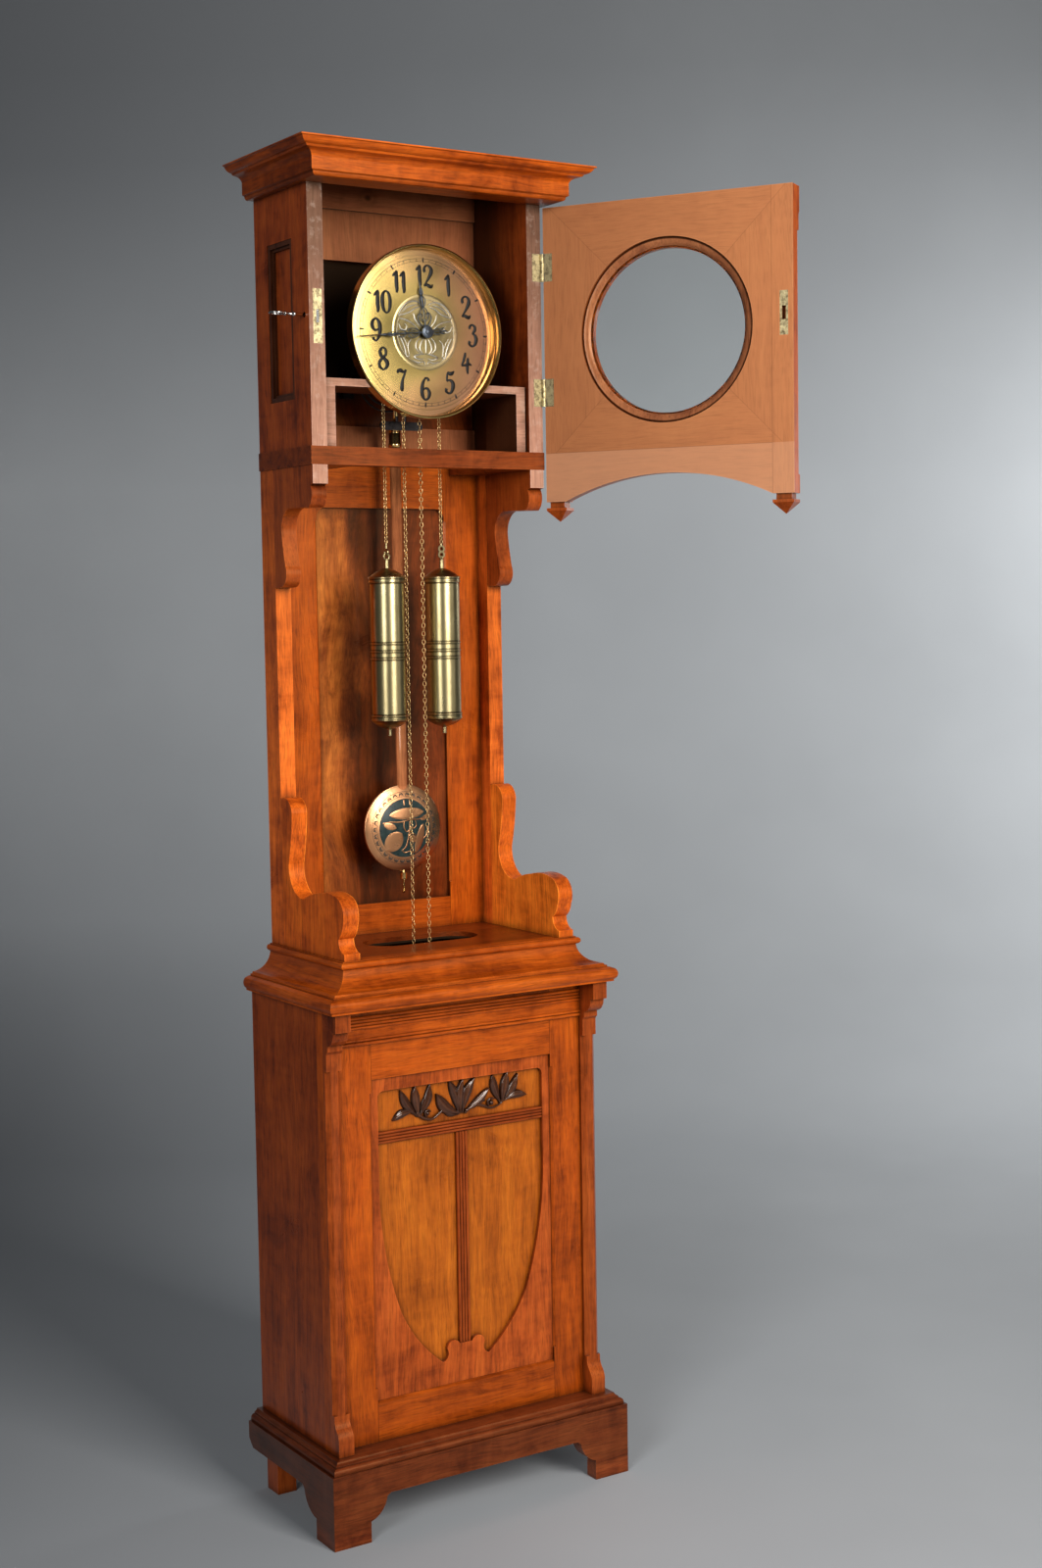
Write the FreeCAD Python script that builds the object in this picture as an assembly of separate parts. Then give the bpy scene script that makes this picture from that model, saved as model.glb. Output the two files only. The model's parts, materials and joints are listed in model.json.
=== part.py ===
import FreeCAD, Part
import math
import os

# Longcase clock on a bracket-foot plinth, with an open trunk and a hinged hood door.
# Millimetres. X runs to the viewer's right, -Y is the front, +Z is up.
# The floor is at Z = 0 and the origin is under the centre of the plinth.

os.makedirs("parts", exist_ok=True)

# ---- driving dimensions ----
HEIGHT = 2200.0
PLINTH_HALF = 283.5
PLINTH_DEPTH = 305.0
PLINTH_TOP = 118.8
FLOOR_TOP = 137.0
BASE_HALF = 257.0
BASE_FRONT = 251.0
BASE_TOP = 852.0
PLATFORM_TOP = 927.0
TRUNK_HALF = 217.5
TRUNK_SIDE_DEPTH = 46.6
TRUNK_TOP = 1710.0
HOOD_BOTTOM = 1739.0
HOOD_DEPTH = 188.0
HOOD_SIDE = 27.0
CORNICE_BOTTOM = 2147.0
CORNICE_FRONT = 226.5
DIAL_Z = 1928.0
DIAL_RADIUS = 140.0
DOOR_OPEN = 122.0
HINGE_X = 219.5
HINGE_D = 190.0
DOOR_TOP = 2142.5
WEIGHT_X = 52.5
FREE_X = 15.5
CHAIN_D = 124.0
WHEEL_Z = 1880.0
PENDULUM_D = 67.0
PIVOT_Z = 1965.0
BOB_Z = 1111.0
BOB_RADIUS = 74.0
HANDS_MINUTE = 44.0
HANDS_HOUR = 11.0

BACK = PLINTH_DEPTH / 2.0
WHEEL_X = (WEIGHT_X + FREE_X) / 2.0
WHEEL_R = (WEIGHT_X - FREE_X) / 2.0
V = FreeCAD.Vector
AXIS_X = V(1, 0, 0)
AXIS_Y = V(0, 1, 0)
AXIS_Z = V(0, 0, 1)


def y_of(depth):
    """The Y of a place that far in front of the clock's back."""
    return BACK - depth


def box(x0, x1, d0, d1, z0, z1):
    return Part.makeBox(x1 - x0, d1 - d0, z1 - z0, V(x0, y_of(d1), z0))


def wire(points, place):
    """A closed wire. A point is (a, b), or ("arc", (a, b), (a, b)) through the first to the second."""
    edges = []
    last = place(*points[0])
    first = last
    for p in points[1:]:
        if p[0] == "arc":
            mid = place(*p[1])
            end = place(*p[2])
            edges.append(Part.Arc(last, mid, end).toShape())
        else:
            end = place(*p)
            edges.append(Part.makeLine(last, end))
        last = end
    if last.distanceToPoint(first) > 1e-6:
        edges.append(Part.makeLine(last, first))
    return Part.Wire(edges)


def side_prism(points, x0, x1):
    """An outline in (depth, z) extruded along X."""
    face = Part.Face(wire(points, lambda d, z: V(x0, y_of(d), z)))
    return face.extrude(V(x1 - x0, 0, 0))


def front_prism(points, d0, d1):
    """An outline in (x, z) extruded from depth d0 to d1."""
    face = Part.Face(wire(points, lambda x, z: V(x, y_of(d0), z)))
    return face.extrude(V(0, d0 - d1, 0))


def plan_prism(points, z0, z1):
    """An outline in (x, depth) extruded upwards."""
    face = Part.Face(wire(points, lambda x, d: V(x, y_of(d), z0)))
    return face.extrude(V(0, 0, z1 - z0))


def mirrored(shape):
    return shape.mirror(V(0, 0, 0), AXIS_X)


def both(shape):
    """The piece and its twin on the other side."""
    return Part.makeCompound([shape, mirrored(shape)])


def rod_y(x, z, radius, d0, d1):
    return Part.makeCylinder(radius, d1 - d0, V(x, y_of(d0), z), V(0, -1, 0))


def rod_z(x, d, radius, z0, z1):
    return Part.makeCylinder(radius, z1 - z0, V(x, y_of(d), z0), AXIS_Z)


def turned_y(profile, x, z):
    """A profile in (radius, depth) turned about an axis along the depth."""
    face = Part.Face(wire(profile, lambda r, d: V(x + r, y_of(d), z)))
    return face.revolve(V(x, 0, z), AXIS_Y, 360)


def turned_z(profile, x, d):
    """A profile in (radius, z) turned about an upright axis."""
    face = Part.Face(wire(profile, lambda r, z: V(x + r, y_of(d), z)))
    return face.revolve(V(x, y_of(d), 0), AXIS_Z, 360)


def save(shape, name):
    solids = shape.Solids
    if len(solids) > 1:
        shape = Part.makeCompound(solids)
    elif len(solids) == 1:
        shape = solids[0]
    bad = [s for s in solids if not s.isValid() or s.Volume <= 0]
    if bad or not solids:
        print("CHECK", name, len(solids), len(bad))
    shape.exportStep("parts/" + name + ".step")


# ---- plinth ----
FOOT_STEP = 34.0
APRON_Z = 73.5
FRONT_FOOT = 217.0
SIDE_FOOT = 244.0
PLINTH_BOARD = 26.5


def plinth_boards():
    half = [(0, PLINTH_TOP), (PLINTH_HALF, PLINTH_TOP), (PLINTH_HALF, 0), (FRONT_FOOT, 0)]
    half += [(FRONT_FOOT, FOOT_STEP), ("arc", (196, 48), (187, 69)), (180, APRON_Z), (0, APRON_Z)]
    right = front_prism(half, PLINTH_DEPTH - PLINTH_BOARD, PLINTH_DEPTH)
    front = right.fuse(mirrored(right)).removeSplitter()
    inner = PLINTH_DEPTH - PLINTH_BOARD
    outline = [(0, PLINTH_TOP), (inner, PLINTH_TOP), (inner, 0), (SIDE_FOOT, 0)]
    outline += [(SIDE_FOOT, FOOT_STEP), ("arc", (214, 48), (203, 70)), (196, APRON_Z + 2)]
    outline += [(14, APRON_Z + 2), (0, APRON_Z + 16)]
    side = side_prism(outline, PLINTH_HALF - PLINTH_BOARD, PLINTH_HALF)
    return Part.makeCompound([front, side, mirrored(side)])


def rear_legs():
    leg = box(223, 257, 13, 52, 0, PLINTH_TOP)
    return both(leg)


def moulded_board(profile, half, front, back_z0, back_z1):
    """A board with a moulded edge on its front and both sides. profile is (outward, z)."""
    reach = 80.0
    face_points = []
    for p in profile:
        if p[0] == "arc":
            face_points.append(("arc", (front + p[1][0], p[1][1]), (front + p[2][0], p[2][1])))
        else:
            face_points.append((front + p[0], p[1]))
    run = side_prism(face_points, -half - reach, half + reach)
    trap = plan_prism(
        [(-half - reach, front + reach), (half + reach, front + reach), (half, front), (-half, front)],
        back_z0 - 5,
        back_z1 + 5,
    )
    front_piece = run.common(trap)
    side_points = []
    for p in profile:
        if p[0] == "arc":
            side_points.append(("arc", (half + p[1][0], p[1][1]), (half + p[2][0], p[2][1])))
        else:
            side_points.append((half + p[0], p[1]))
    face = Part.Face(wire(side_points, lambda x, z: V(x, BACK, z)))
    run = face.extrude(V(0, -front - reach, 0))
    trap = plan_prism(
        [(half, 0), (half + reach, 0), (half + reach, front + reach), (half, front)],
        back_z0 - 5,
        back_z1 + 5,
    )
    right_piece = run.common(trap)
    return front_piece, right_piece, mirrored(right_piece)


def plinth_moulding():
    z0 = PLINTH_TOP
    profile = [(0, z0), (22, z0), (22, z0 + 3), ("arc", (20.5, z0 + 8), (15.5, z0 + 10.5))]
    profile += [(15.5, z0 + 13), ("arc", (12, z0 + 15), (10.5, FLOOR_TOP)), (0, FLOOR_TOP)]
    pieces = moulded_board(profile, BASE_HALF, 278.5, z0, FLOOR_TOP)
    core = box(-BASE_HALF, BASE_HALF, 0, 278.5, z0, FLOOR_TOP)
    return core.multiFuse(list(pieces)).removeSplitter()


# ---- base carcass ----
SIDE_BOARD = 18.0
FRAME_BACK = 231.0
OPEN_HALF = 171.0
OPEN_Z0 = 203.0
OPEN_Z1 = 731.0


def base_sides():
    return both(box(BASE_HALF - SIDE_BOARD, BASE_HALF, 0, FRAME_BACK, FLOOR_TOP, BASE_TOP))


def base_back_board():
    inner = BASE_HALF - SIDE_BOARD
    return box(-inner, inner, 0, 8, FLOOR_TOP, BASE_TOP)


def base_front_frame():
    frame = box(-BASE_HALF, BASE_HALF, FRAME_BACK, BASE_FRONT, FLOOR_TOP, BASE_TOP)
    hole = box(-OPEN_HALF, OPEN_HALF, FRAME_BACK - 1, BASE_FRONT + 1, OPEN_Z0, OPEN_Z1)
    frame = frame.cut(hole)
    cut = side_prism(
        [(BASE_FRONT - 4, OPEN_Z0 + 0.01), (BASE_FRONT + 1, OPEN_Z0 + 0.01), (BASE_FRONT + 1, OPEN_Z0 - 5)],
        -OPEN_HALF,
        OPEN_HALF,
    )
    bevel_x = plan_prism(
        [
            (OPEN_HALF - 0.01, BASE_FRONT - 4),
            (OPEN_HALF - 0.01, BASE_FRONT + 1),
            (OPEN_HALF + 5, BASE_FRONT + 1),
        ],
        OPEN_Z0 + 22,
        OPEN_Z1 - 22,
    )
    return frame.cut(cut).cut(bevel_x).cut(mirrored(bevel_x))


def shield_half(inset):
    """Right half of the shield-shaped window, from its top centre to the cusp below the bar."""
    top = 709.0 - inset
    side = 157.5 - inset
    points = [(0, top), (side - 10, top), ("arc", (side - 3, top - 3), (side, top - 10))]
    points += [(side, 580), ("arc", (150 - inset, 452), (122 - inset, 341 + inset))]
    points += [("arc", (91 - inset, 288 + inset), (44 - inset, 241 + inset))]
    points += [("arc", (36 - inset, 247), (36, 262)), ("arc", (29, 273), (12, 267)), (0, 267)]
    return points


def shield_ground_panel():
    return box(-OPEN_HALF, OPEN_HALF, FRAME_BACK + 2, 239, OPEN_Z0, OPEN_Z1)


def shield_overlay_board():
    board = box(-OPEN_HALF, OPEN_HALF, 239, 246, OPEN_Z0, OPEN_Z1)
    right = front_prism(shield_half(0), 238, 247)
    return board.cut(right).cut(mirrored(right))


def panel_reeding():
    reeds = 4
    band_z0 = 622.0
    pitch = 5.0
    outline = [(239, band_z0), (242, band_z0)]
    for i in range(reeds):
        z = band_z0 + pitch * i
        outline.append(("arc", (244.5, z + pitch / 2), (242, z + pitch)))
    outline += [(239, band_z0 + pitch * reeds)]
    band = side_prism(outline, -157.5, 157.5)
    start = -11.0
    pitch_x = 5.5
    outline = [(start, 239), (start, 242)]
    for i in range(reeds):
        x = start + pitch_x * i
        outline.append(("arc", (x + pitch_x / 2, 244.5), (x + pitch_x, 242)))
    outline += [(start + pitch_x * reeds, 239)]
    bar = plan_prism(outline, 267, band_z0)
    return Part.makeCompound([band, bar])


def leaf(x, z, length, width, angle, d0, d1):
    points = [(0, 0), ("arc", (length / 2, width / 2), (length, 0))]
    points += [("arc", (length / 2, -width / 2), (0, 0))]
    shape = front_prism(points, d0, d1)
    shape.rotate(V(0, 0, 0), V(0, -1, 0), angle)
    shape.translate(V(x, 0, z))
    return shape


def carved_flowers():
    """Three flat relief blossoms with leaves on the ground above the reeded band."""
    solids = []
    for centre, spread in ((-92.0, 1.0), (5.0, 1.0), (95.0, 1.0)):
        z = 672.0
        blossom = rod_y(centre, z, 9.0, 239, 242.5)
        for k in range(6):
            angle = 60.0 * k + 15
            blossom = blossom.fuse(leaf(centre, z, 26 * spread, 13, angle, 239, 241.5))
        stem = leaf(centre, z, 44, 5, -140, 239, 240.8)
        solids.append(blossom.fuse(stem))
    return Part.makeCompound(solids)


PIL_X0 = 230.0


def frieze_board():
    """Reeded frieze between the two corner blocks."""
    z = 789.0
    outline = [(BASE_FRONT, z), (BASE_FRONT + 3, z)]
    outline += [("arc", (BASE_FRONT + 5.6, z + 3), (BASE_FRONT + 3, z + 6))]
    outline += [("arc", (BASE_FRONT + 5.0, z + 8.5), (BASE_FRONT + 3, z + 11)), (BASE_FRONT + 3, z + 26)]
    reed_z = z + 26
    for i in range(4):
        z0 = reed_z + 5.2 * i
        outline.append(("arc", (BASE_FRONT + 5.0, z0 + 2.6), (BASE_FRONT + 3, z0 + 5.2)))
    outline += [(BASE_FRONT, reed_z + 20.8)]
    return side_prism(outline, -PIL_X0, PIL_X0)


def corner_pilasters():
    """A strip with a plinth block, a small cap and a quarter-round corbel block."""
    x0 = PIL_X0
    x1 = BASE_HALF
    f = BASE_FRONT
    outline = [(f, FLOOR_TOP), (277, FLOOR_TOP), (277, 163), ("arc", (274, 172), (268, 180))]
    outline += [("arc", (264.5, 186), (263, 192)), (263, 784), (268, 789), (268, 798)]
    outline += [("arc", (281, 804), (288, 817)), (288, 822.5), (297, 822.5), (297, BASE_TOP), (f, BASE_TOP)]
    strip = side_prism(outline, x0, x1)
    corner = 7.0
    for x, way in ((x0, 1), (x1, -1)):
        inner = x + way * corner
        bevel = plan_prism([(x, 263 - corner), (x, 264), (inner, 264), (inner, 263)], 200, 756)
        strip = strip.cut(bevel)
    return both(strip)


def base_top_board():
    z0 = BASE_TOP
    z1 = 879.0
    profile = [(0, z0), (10, z0), (10, z0 + 3), ("arc", (15.2, z0 + 12), (12, z0 + 21))]
    profile += [(5, z0 + 24), (2, z0 + 24)]
    profile += [(2, z1), (0, z1)]
    pieces = moulded_board(profile, BASE_HALF, 294.8, z0, z1)
    core = box(-BASE_HALF, BASE_HALF, 0, 294.8, z0, z1)
    board = core.multiFuse(list(pieces)).removeSplitter()
    return board.cut(box(-150, 150, 40, 200, z0 - 1, z1 + 1))


PLAT_HALF = 221.5
PLAT_FRONT = 259.5


def platform_moulding():
    """The large cove with a bead on top, round the front and both sides."""
    z0 = 879.0
    z1 = PLATFORM_TOP
    profile = [(-22, z0), (34.5, z0), (33, z0 + 3), ("arc", (10, z0 + 13), (0, z0 + 33)), (0, z0 + 35)]
    profile += [(3, z0 + 36), ("arc", (6, z0 + 41), (3, z0 + 46)), (0, z0 + 46), (0, z1), (-22, z1)]
    half = PLAT_HALF - 22
    front = PLAT_FRONT - 22
    shifted = []
    for p in profile:
        if p[0] == "arc":
            shifted.append(("arc", (p[1][0] + 22, p[1][1]), (p[2][0] + 22, p[2][1])))
        else:
            shifted.append((p[0] + 22, p[1]))
    pieces = moulded_board(shifted, half, front, z0, z1)
    rail = box(-half, half, 0, 18, z0, z1 - 12)
    return Part.makeCompound(list(pieces) + [rail])


def slot_outline():
    right = [(-60, 75), (60, 75), ("arc", (105, 120), (60, 165))]
    return right + [(-60, 165), ("arc", (-105, 120), (-60, 75))]


def platform_board():
    board = box(-PLAT_HALF + 22, PLAT_HALF - 22, 0, PLAT_FRONT - 22, PLATFORM_TOP - 12, PLATFORM_TOP)
    return board.cut(plan_prism(slot_outline(), PLATFORM_TOP - 14, PLATFORM_TOP + 1))


# ---- trunk ----
TRUNK_SIDE = 27.5


def trunk_sides():
    inner = TRUNK_HALF - TRUNK_SIDE
    return both(box(inner, TRUNK_HALF, 0, TRUNK_SIDE_DEPTH, PLATFORM_TOP, TRUNK_TOP))


def back_panel():
    inner = TRUNK_HALF - TRUNK_SIDE
    return box(-inner, inner, 0, 6, PLATFORM_TOP, 2186)


def trunk_back_frame():
    inner = TRUNK_HALF - TRUNK_SIDE
    frame = box(-inner, inner, 6, 15, PLATFORM_TOP, TRUNK_TOP + 29)
    window = [(-123, 978), (123, 978), (123, 1636), ("arc", (118.3, 1647.3), (107, 1652))]
    window += [(-107, 1652), ("arc", (-118.3, 1647.3), (-123, 1636)), (-123, 978)]
    frame = frame.cut(front_prism(window, 5, 16))
    edge = plan_prism([(122.9, 11), (122.9, 15.1), (127, 15.1)], 1004, 1630)
    return frame.cut(edge).cut(mirrored(edge))


def upper_brackets():
    s = TRUNK_SIDE_DEPTH
    outline = [(s, TRUNK_TOP), (HOOD_DEPTH, TRUNK_TOP), (HOOD_DEPTH, 1680), (178, 1678)]
    outline += [("arc", (182.5, 1661), (171, 1643)), (100, 1645), ("arc", (83.5, 1636), (73, 1604))]
    outline += [("arc", (77.5, 1579), (84, 1552)), ("arc", (82.5, 1527), (64, 1518.5)), (s, 1518)]
    return both(side_prism(outline, 191, TRUNK_HALF))


def lower_brackets():
    s = TRUNK_SIDE_DEPTH
    outline = [(s, 1171), ("arc", (72, 1170), (85, 1150)), ("arc", (80, 1108), (70, 1065))]
    outline += [("arc", (84, 1026), (120, 1012)), ("arc", (146, 1022), (173, 1027))]
    outline += [("arc", (205, 1031), (232, 1027)), ("arc", (253, 1012), (253, 982))]
    outline += [("arc", (247, 968), (238, 960)), ("arc", (244, 944), (257, 938)), (257, PLATFORM_TOP)]
    outline += [(s, PLATFORM_TOP)]
    return both(side_prism(outline, 189.5, TRUNK_HALF))


# ---- hood ----
HOOD_INNER = TRUNK_HALF - HOOD_SIDE
HINGE_ZS = (2021.5, 1815.0)
LEAF_HEIGHT = 46.0
KNUCKLE = 3.4
LOCK_X = -202.5
LOCK_Z = 1941.0
KEY_D = 171.5
KEY_Z = 1944.0


def knuckle_space(z0):
    return rod_z(HINGE_X, HINGE_D, KNUCKLE + 0.5, z0 - 1, z0 + LEAF_HEIGHT + 1)


def hood_floor_board():
    board = box(-219.5, 219.5, 0, 188.3, TRUNK_TOP, HOOD_BOTTOM)
    board = board.cut(box(-HOOD_INNER + 0.5, HOOD_INNER - 0.5, -1, 15, TRUNK_TOP - 1, HOOD_BOTTOM + 1))
    return board.cut(box(-135, 135, 14, 160, TRUNK_TOP - 1, HOOD_BOTTOM + 1))


def lock_pocket():
    pocket = box(LOCK_X - 6, LOCK_X + 6, 150, HOOD_DEPTH + 1, LOCK_Z - 30, LOCK_Z + 30)
    face = box(LOCK_X - 8, LOCK_X + 8, HOOD_DEPTH - 1.6, HOOD_DEPTH + 1, LOCK_Z - 42.5, LOCK_Z + 42.5)
    way = Part.makeCylinder(4.4, 20, V(-TRUNK_HALF - 1, y_of(KEY_D), KEY_Z), AXIS_X)
    return [pocket, face, way]


def hood_sides():
    side = box(HOOD_INNER, TRUNK_HALF, 0, HOOD_DEPTH, HOOD_BOTTOM, 2186)
    field = box(TRUNK_HALF - 9, TRUNK_HALF + 1, 45.6, 132, 1816, 2068.5)
    side = side.cut(field)
    right = side
    for z0 in HINGE_ZS:
        right = right.cut(knuckle_space(z0))
        z1 = z0 + LEAF_HEIGHT
        right = right.cut(box(200.5, TRUNK_HALF + 1, HOOD_DEPTH - 1.3, HOOD_DEPTH + 1, z0, z1))
    left = mirrored(side)
    for tool in lock_pocket():
        left = left.cut(tool)
    return Part.makeCompound([left, right])


def side_panel_mouldings():
    """A picture-frame moulding set into the recess of each hood side."""
    x0 = TRUNK_HALF - 9
    outer = box(x0, TRUNK_HALF - 1, 45.6, 132, 1816, 2068.5)
    inner = box(x0 - 1, TRUNK_HALF + 1, 57.6, 120, 1828, 2056.5)
    frame = outer.cut(inner)
    step = box(x0 + 4, TRUNK_HALF + 1, 53, 124.6, 1823.4, 2061.1)
    return both(frame.cut(step))


def hood_back_boards():
    rail = box(-HOOD_INNER, HOOD_INNER, 6, 24, 2143, 2186)
    board = box(-HOOD_INNER, HOOD_INNER, 6, 20, 2060, 2143)
    low = box(-HOOD_INNER, HOOD_INNER, 6, 12, 1739, 1788.5)
    return Part.makeCompound([rail, board, low])


def cornice_profile():
    b = CORNICE_BOTTOM
    profile = [(0, b), (9.5, b), ("arc", (14.5, b + 1.5), (16, b + 6)), (20, b + 8), (20, b + 28)]
    profile += [("arc", (24, b + 34), (31, b + 37)), (36, b + 38), (38.5, b + 41)]
    profile += [("arc", (46, b + 44), (50.5, b + 50)), (53.5, b + 51), (53.5, HEIGHT), (0, HEIGHT)]
    return profile


def cornice_moulding():
    pieces = moulded_board(cornice_profile(), TRUNK_HALF, CORNICE_FRONT, CORNICE_BOTTOM, HEIGHT)
    rail = box(-TRUNK_HALF, TRUNK_HALF, HOOD_DEPTH, CORNICE_FRONT, CORNICE_BOTTOM, HEIGHT)
    return Part.makeCompound([pieces[0].fuse(rail).removeSplitter(), pieces[1], pieces[2]])


def hood_top_board():
    return box(-TRUNK_HALF, TRUNK_HALF, 0, HOOD_DEPTH, 2186, 2198)


# ---- movement and dial ----
SEAT_HALF = 187.4
SEAT_Z0 = 1835.0
SEAT_Z1 = 1847.0
SEAT_D0 = 84.0
SEAT_D1 = 180.0
PLATE_BACK = 97.0
PLATE_FRONT = 148.0
PLATE_T = 2.5
ARBOR = 2.0
RUN = 0.05


def movement_seat():
    board = box(-SEAT_HALF, SEAT_HALF, SEAT_D0, SEAT_D1, SEAT_Z0, SEAT_Z1)
    for x in (-WEIGHT_X, -FREE_X, FREE_X, WEIGHT_X):
        board = board.cut(rod_z(x, CHAIN_D, 7.5, SEAT_Z0 - 1, SEAT_Z1 + 1))
    board = board.cut(rod_y(0, DIAL_Z, DIAL_RADIUS + 0.6, 164.6, SEAT_D1 + 1))
    leg = box(SEAT_HALF - 17, SEAT_HALF, SEAT_D0, SEAT_D1, HOOD_BOTTOM, SEAT_Z0)
    return Part.makeCompound([board, leg, mirrored(leg)])


def movement_frame():
    """Two brass plates, four pillars, the pendulum cock and the steel bar below the seat."""
    solids = []
    for d0 in (PLATE_BACK, PLATE_FRONT - PLATE_T):
        plate = box(-62, 62, d0, d0 + PLATE_T, SEAT_Z1, 1990)
        plate = plate.cut(rod_y(0, DIAL_Z, ARBOR + RUN, d0 - 1, d0 + PLATE_T + 1))
        plate = plate.cut(rod_y(0, PIVOT_Z, 1.5 + RUN, d0 - 1, d0 + PLATE_T + 1))
        for x in (-WHEEL_X, WHEEL_X):
            plate = plate.cut(rod_y(x, WHEEL_Z, ARBOR + RUN, d0 - 1, d0 + PLATE_T + 1))
        solids.append(plate)
    for x, z in ((-WHEEL_X, 1854), (WHEEL_X, 1854), (-54, 1981), (54, 1981)):
        solids.append(rod_y(x, z, 3.5, PLATE_BACK + PLATE_T, PLATE_FRONT - PLATE_T))
    cock = box(-18, 18, PLATE_BACK - 34, PLATE_BACK, PIVOT_Z + 6, PIVOT_Z + 12)
    cock = cock.fuse(box(-18, 18, PLATE_BACK - 3, PLATE_BACK, PIVOT_Z + 6, PIVOT_Z + 22))
    cock = cock.fuse(box(-5, 5, PENDULUM_D - 3, PENDULUM_D + 3, PIVOT_Z + 1.6, PIVOT_Z + 6.5))
    solids.append(cock)
    bar = box(-33, 33, 87, 92, 1777, 1791)
    bar = bar.fuse(rod_y(-33, 1784, 7, 87, 92)).fuse(rod_y(33, 1784, 7, 87, 92))
    for x in (-8, 8):
        bar = bar.fuse(rod_z(x, 89.5, 2.2, 1790, SEAT_Z0))
    solids.append(bar)
    return Part.makeCompound(solids)


def dial_plate():
    rim = DIAL_RADIUS - 5.6
    profile = [(6, 170), (rim, 168), (rim, 170), ("arc", (96, 173.2), (62, 174.5)), (6, 174.5)]
    plate = turned_y(profile, 0, DIAL_Z)
    for x in (-46, 46):
        for z in (-46, 46):
            plate = plate.fuse(rod_y(x, DIAL_Z + z, 3, PLATE_FRONT, 170.2))
    return plate


def dial_bezel():
    r = DIAL_RADIUS
    profile = [(r - 5.6, 165), (r - 1, 165), (r, 183), ("arc", (r - 0.7, 185.9), (r - 2.4, 186.5))]
    profile += [("arc", (r - 4.8, 182), (r - 5.6, 174)), (r - 5.6, 165)]
    return turned_y(profile, 0, DIAL_Z)


def dial_medallion():
    profile = [(6, 174.5), (61.5, 174.5), ("arc", (60.5, 175.8), (58.5, 175.6)), (57.5, 175.3), (6, 175.3)]
    return turned_y(profile, 0, DIAL_Z)


def hand_outline(length, tail, width):
    w = width
    points = [(-1.2, -tail), (1.2, -tail), (w * 0.45, -tail * 0.75), (1.3, -tail * 0.45)]
    points += [(w * 0.4, -9), (w * 0.4, 9), (1.4, length * 0.2), (w, length * 0.32)]
    points += [(w * 0.35, length * 0.44), (w * 0.55, length * 0.56)]
    points += [(1.1, length * 0.7), (0.5, length), (-0.5, length), (-1.1, length * 0.7)]
    points += [(-w * 0.55, length * 0.56), (-w * 0.35, length * 0.44)]
    points += [(-w, length * 0.32), (-1.4, length * 0.2)]
    points += [(-w * 0.4, 9), (-w * 0.4, -9), (-1.3, -tail * 0.45), (-w * 0.45, -tail * 0.75)]
    return points


def hand(length, tail, width, d0, d1, angle):
    outline = [(x, DIAL_Z + z) for x, z in hand_outline(length, tail, width)]
    blade = front_prism(outline, d0, d1)
    blade.rotate(V(0, 0, DIAL_Z), V(0, -1, 0), -angle)
    return blade


def minute_hand():
    blade = hand(132, 40, 7.5, 182, 183.2, HANDS_MINUTE * 6)
    boss = rod_y(0, DIAL_Z, 8, 181.4, 184.6)
    arbor = rod_y(0, DIAL_Z, ARBOR, PLATE_BACK - 3, 186.8)
    return blade.fuse(boss).fuse(arbor)


def hour_hand():
    blade = hand(80, 0.5, 12, 178.4, 179.6, HANDS_HOUR * 30 + HANDS_MINUTE / 2)
    boss = rod_y(0, DIAL_Z, 9, 177.8, 180.4)
    pipe = rod_y(0, DIAL_Z, 4, PLATE_FRONT + 1, 180.4)
    return blade.fuse(boss).fuse(pipe).cut(rod_y(0, DIAL_Z, ARBOR + RUN, PLATE_FRONT, 181))


def chain_wheel(x):
    wheel = rod_y(x, WHEEL_Z, WHEEL_R - 2.0, CHAIN_D - 4, CHAIN_D + 4)
    for side in (-1, 1):
        d = CHAIN_D + side * 4.5
        wheel = wheel.fuse(rod_y(x, WHEEL_Z, WHEEL_R + 2.5, min(d, d + side * 1.5), max(d, d + side * 1.5)))
        core = CHAIN_D + side * 4.2
        wheel = wheel.fuse(rod_y(x, WHEEL_Z, WHEEL_R - 2.0, min(core, d), max(core, d) + 0.1))
    great = rod_y(x, WHEEL_Z, 20, 138, 139.5)
    return wheel.fuse(great).fuse(rod_y(x, WHEEL_Z, ARBOR, PLATE_BACK - 1, PLATE_FRONT + 1))


def gong():
    """A coil gong of flat half-turns on an iron foot screwed to the back."""
    wire_r = 1.6
    edges = []
    side = 1
    radius = 20.0
    centre = 0.0
    z = 1868.0
    depth = 34.0
    first = V(centre + radius, y_of(depth), z)
    for i in range(9):
        a = V(centre + side * radius, y_of(depth), z)
        m = V(centre, y_of(depth), z + side * radius)
        b = V(centre - side * radius, y_of(depth), z)
        edges.append(Part.Arc(a, m, b).toShape())
        radius += 5.0
        centre += side * 5.0
        side = -side
    path = Part.Wire(edges)
    ring = Part.Wire([Part.makeCircle(wire_r, first, V(0, 0, 1))])
    coil = path.makePipeShell([ring], True, False)
    end = edges[-1].Vertexes[-1].Point
    post = rod_y(end.x, end.z, 6, 12, 40)
    foot = box(end.x - 10, end.x + 10, 6, 20, end.z - 34, end.z + 14)
    return coil.fuse(post).fuse(foot)


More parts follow.
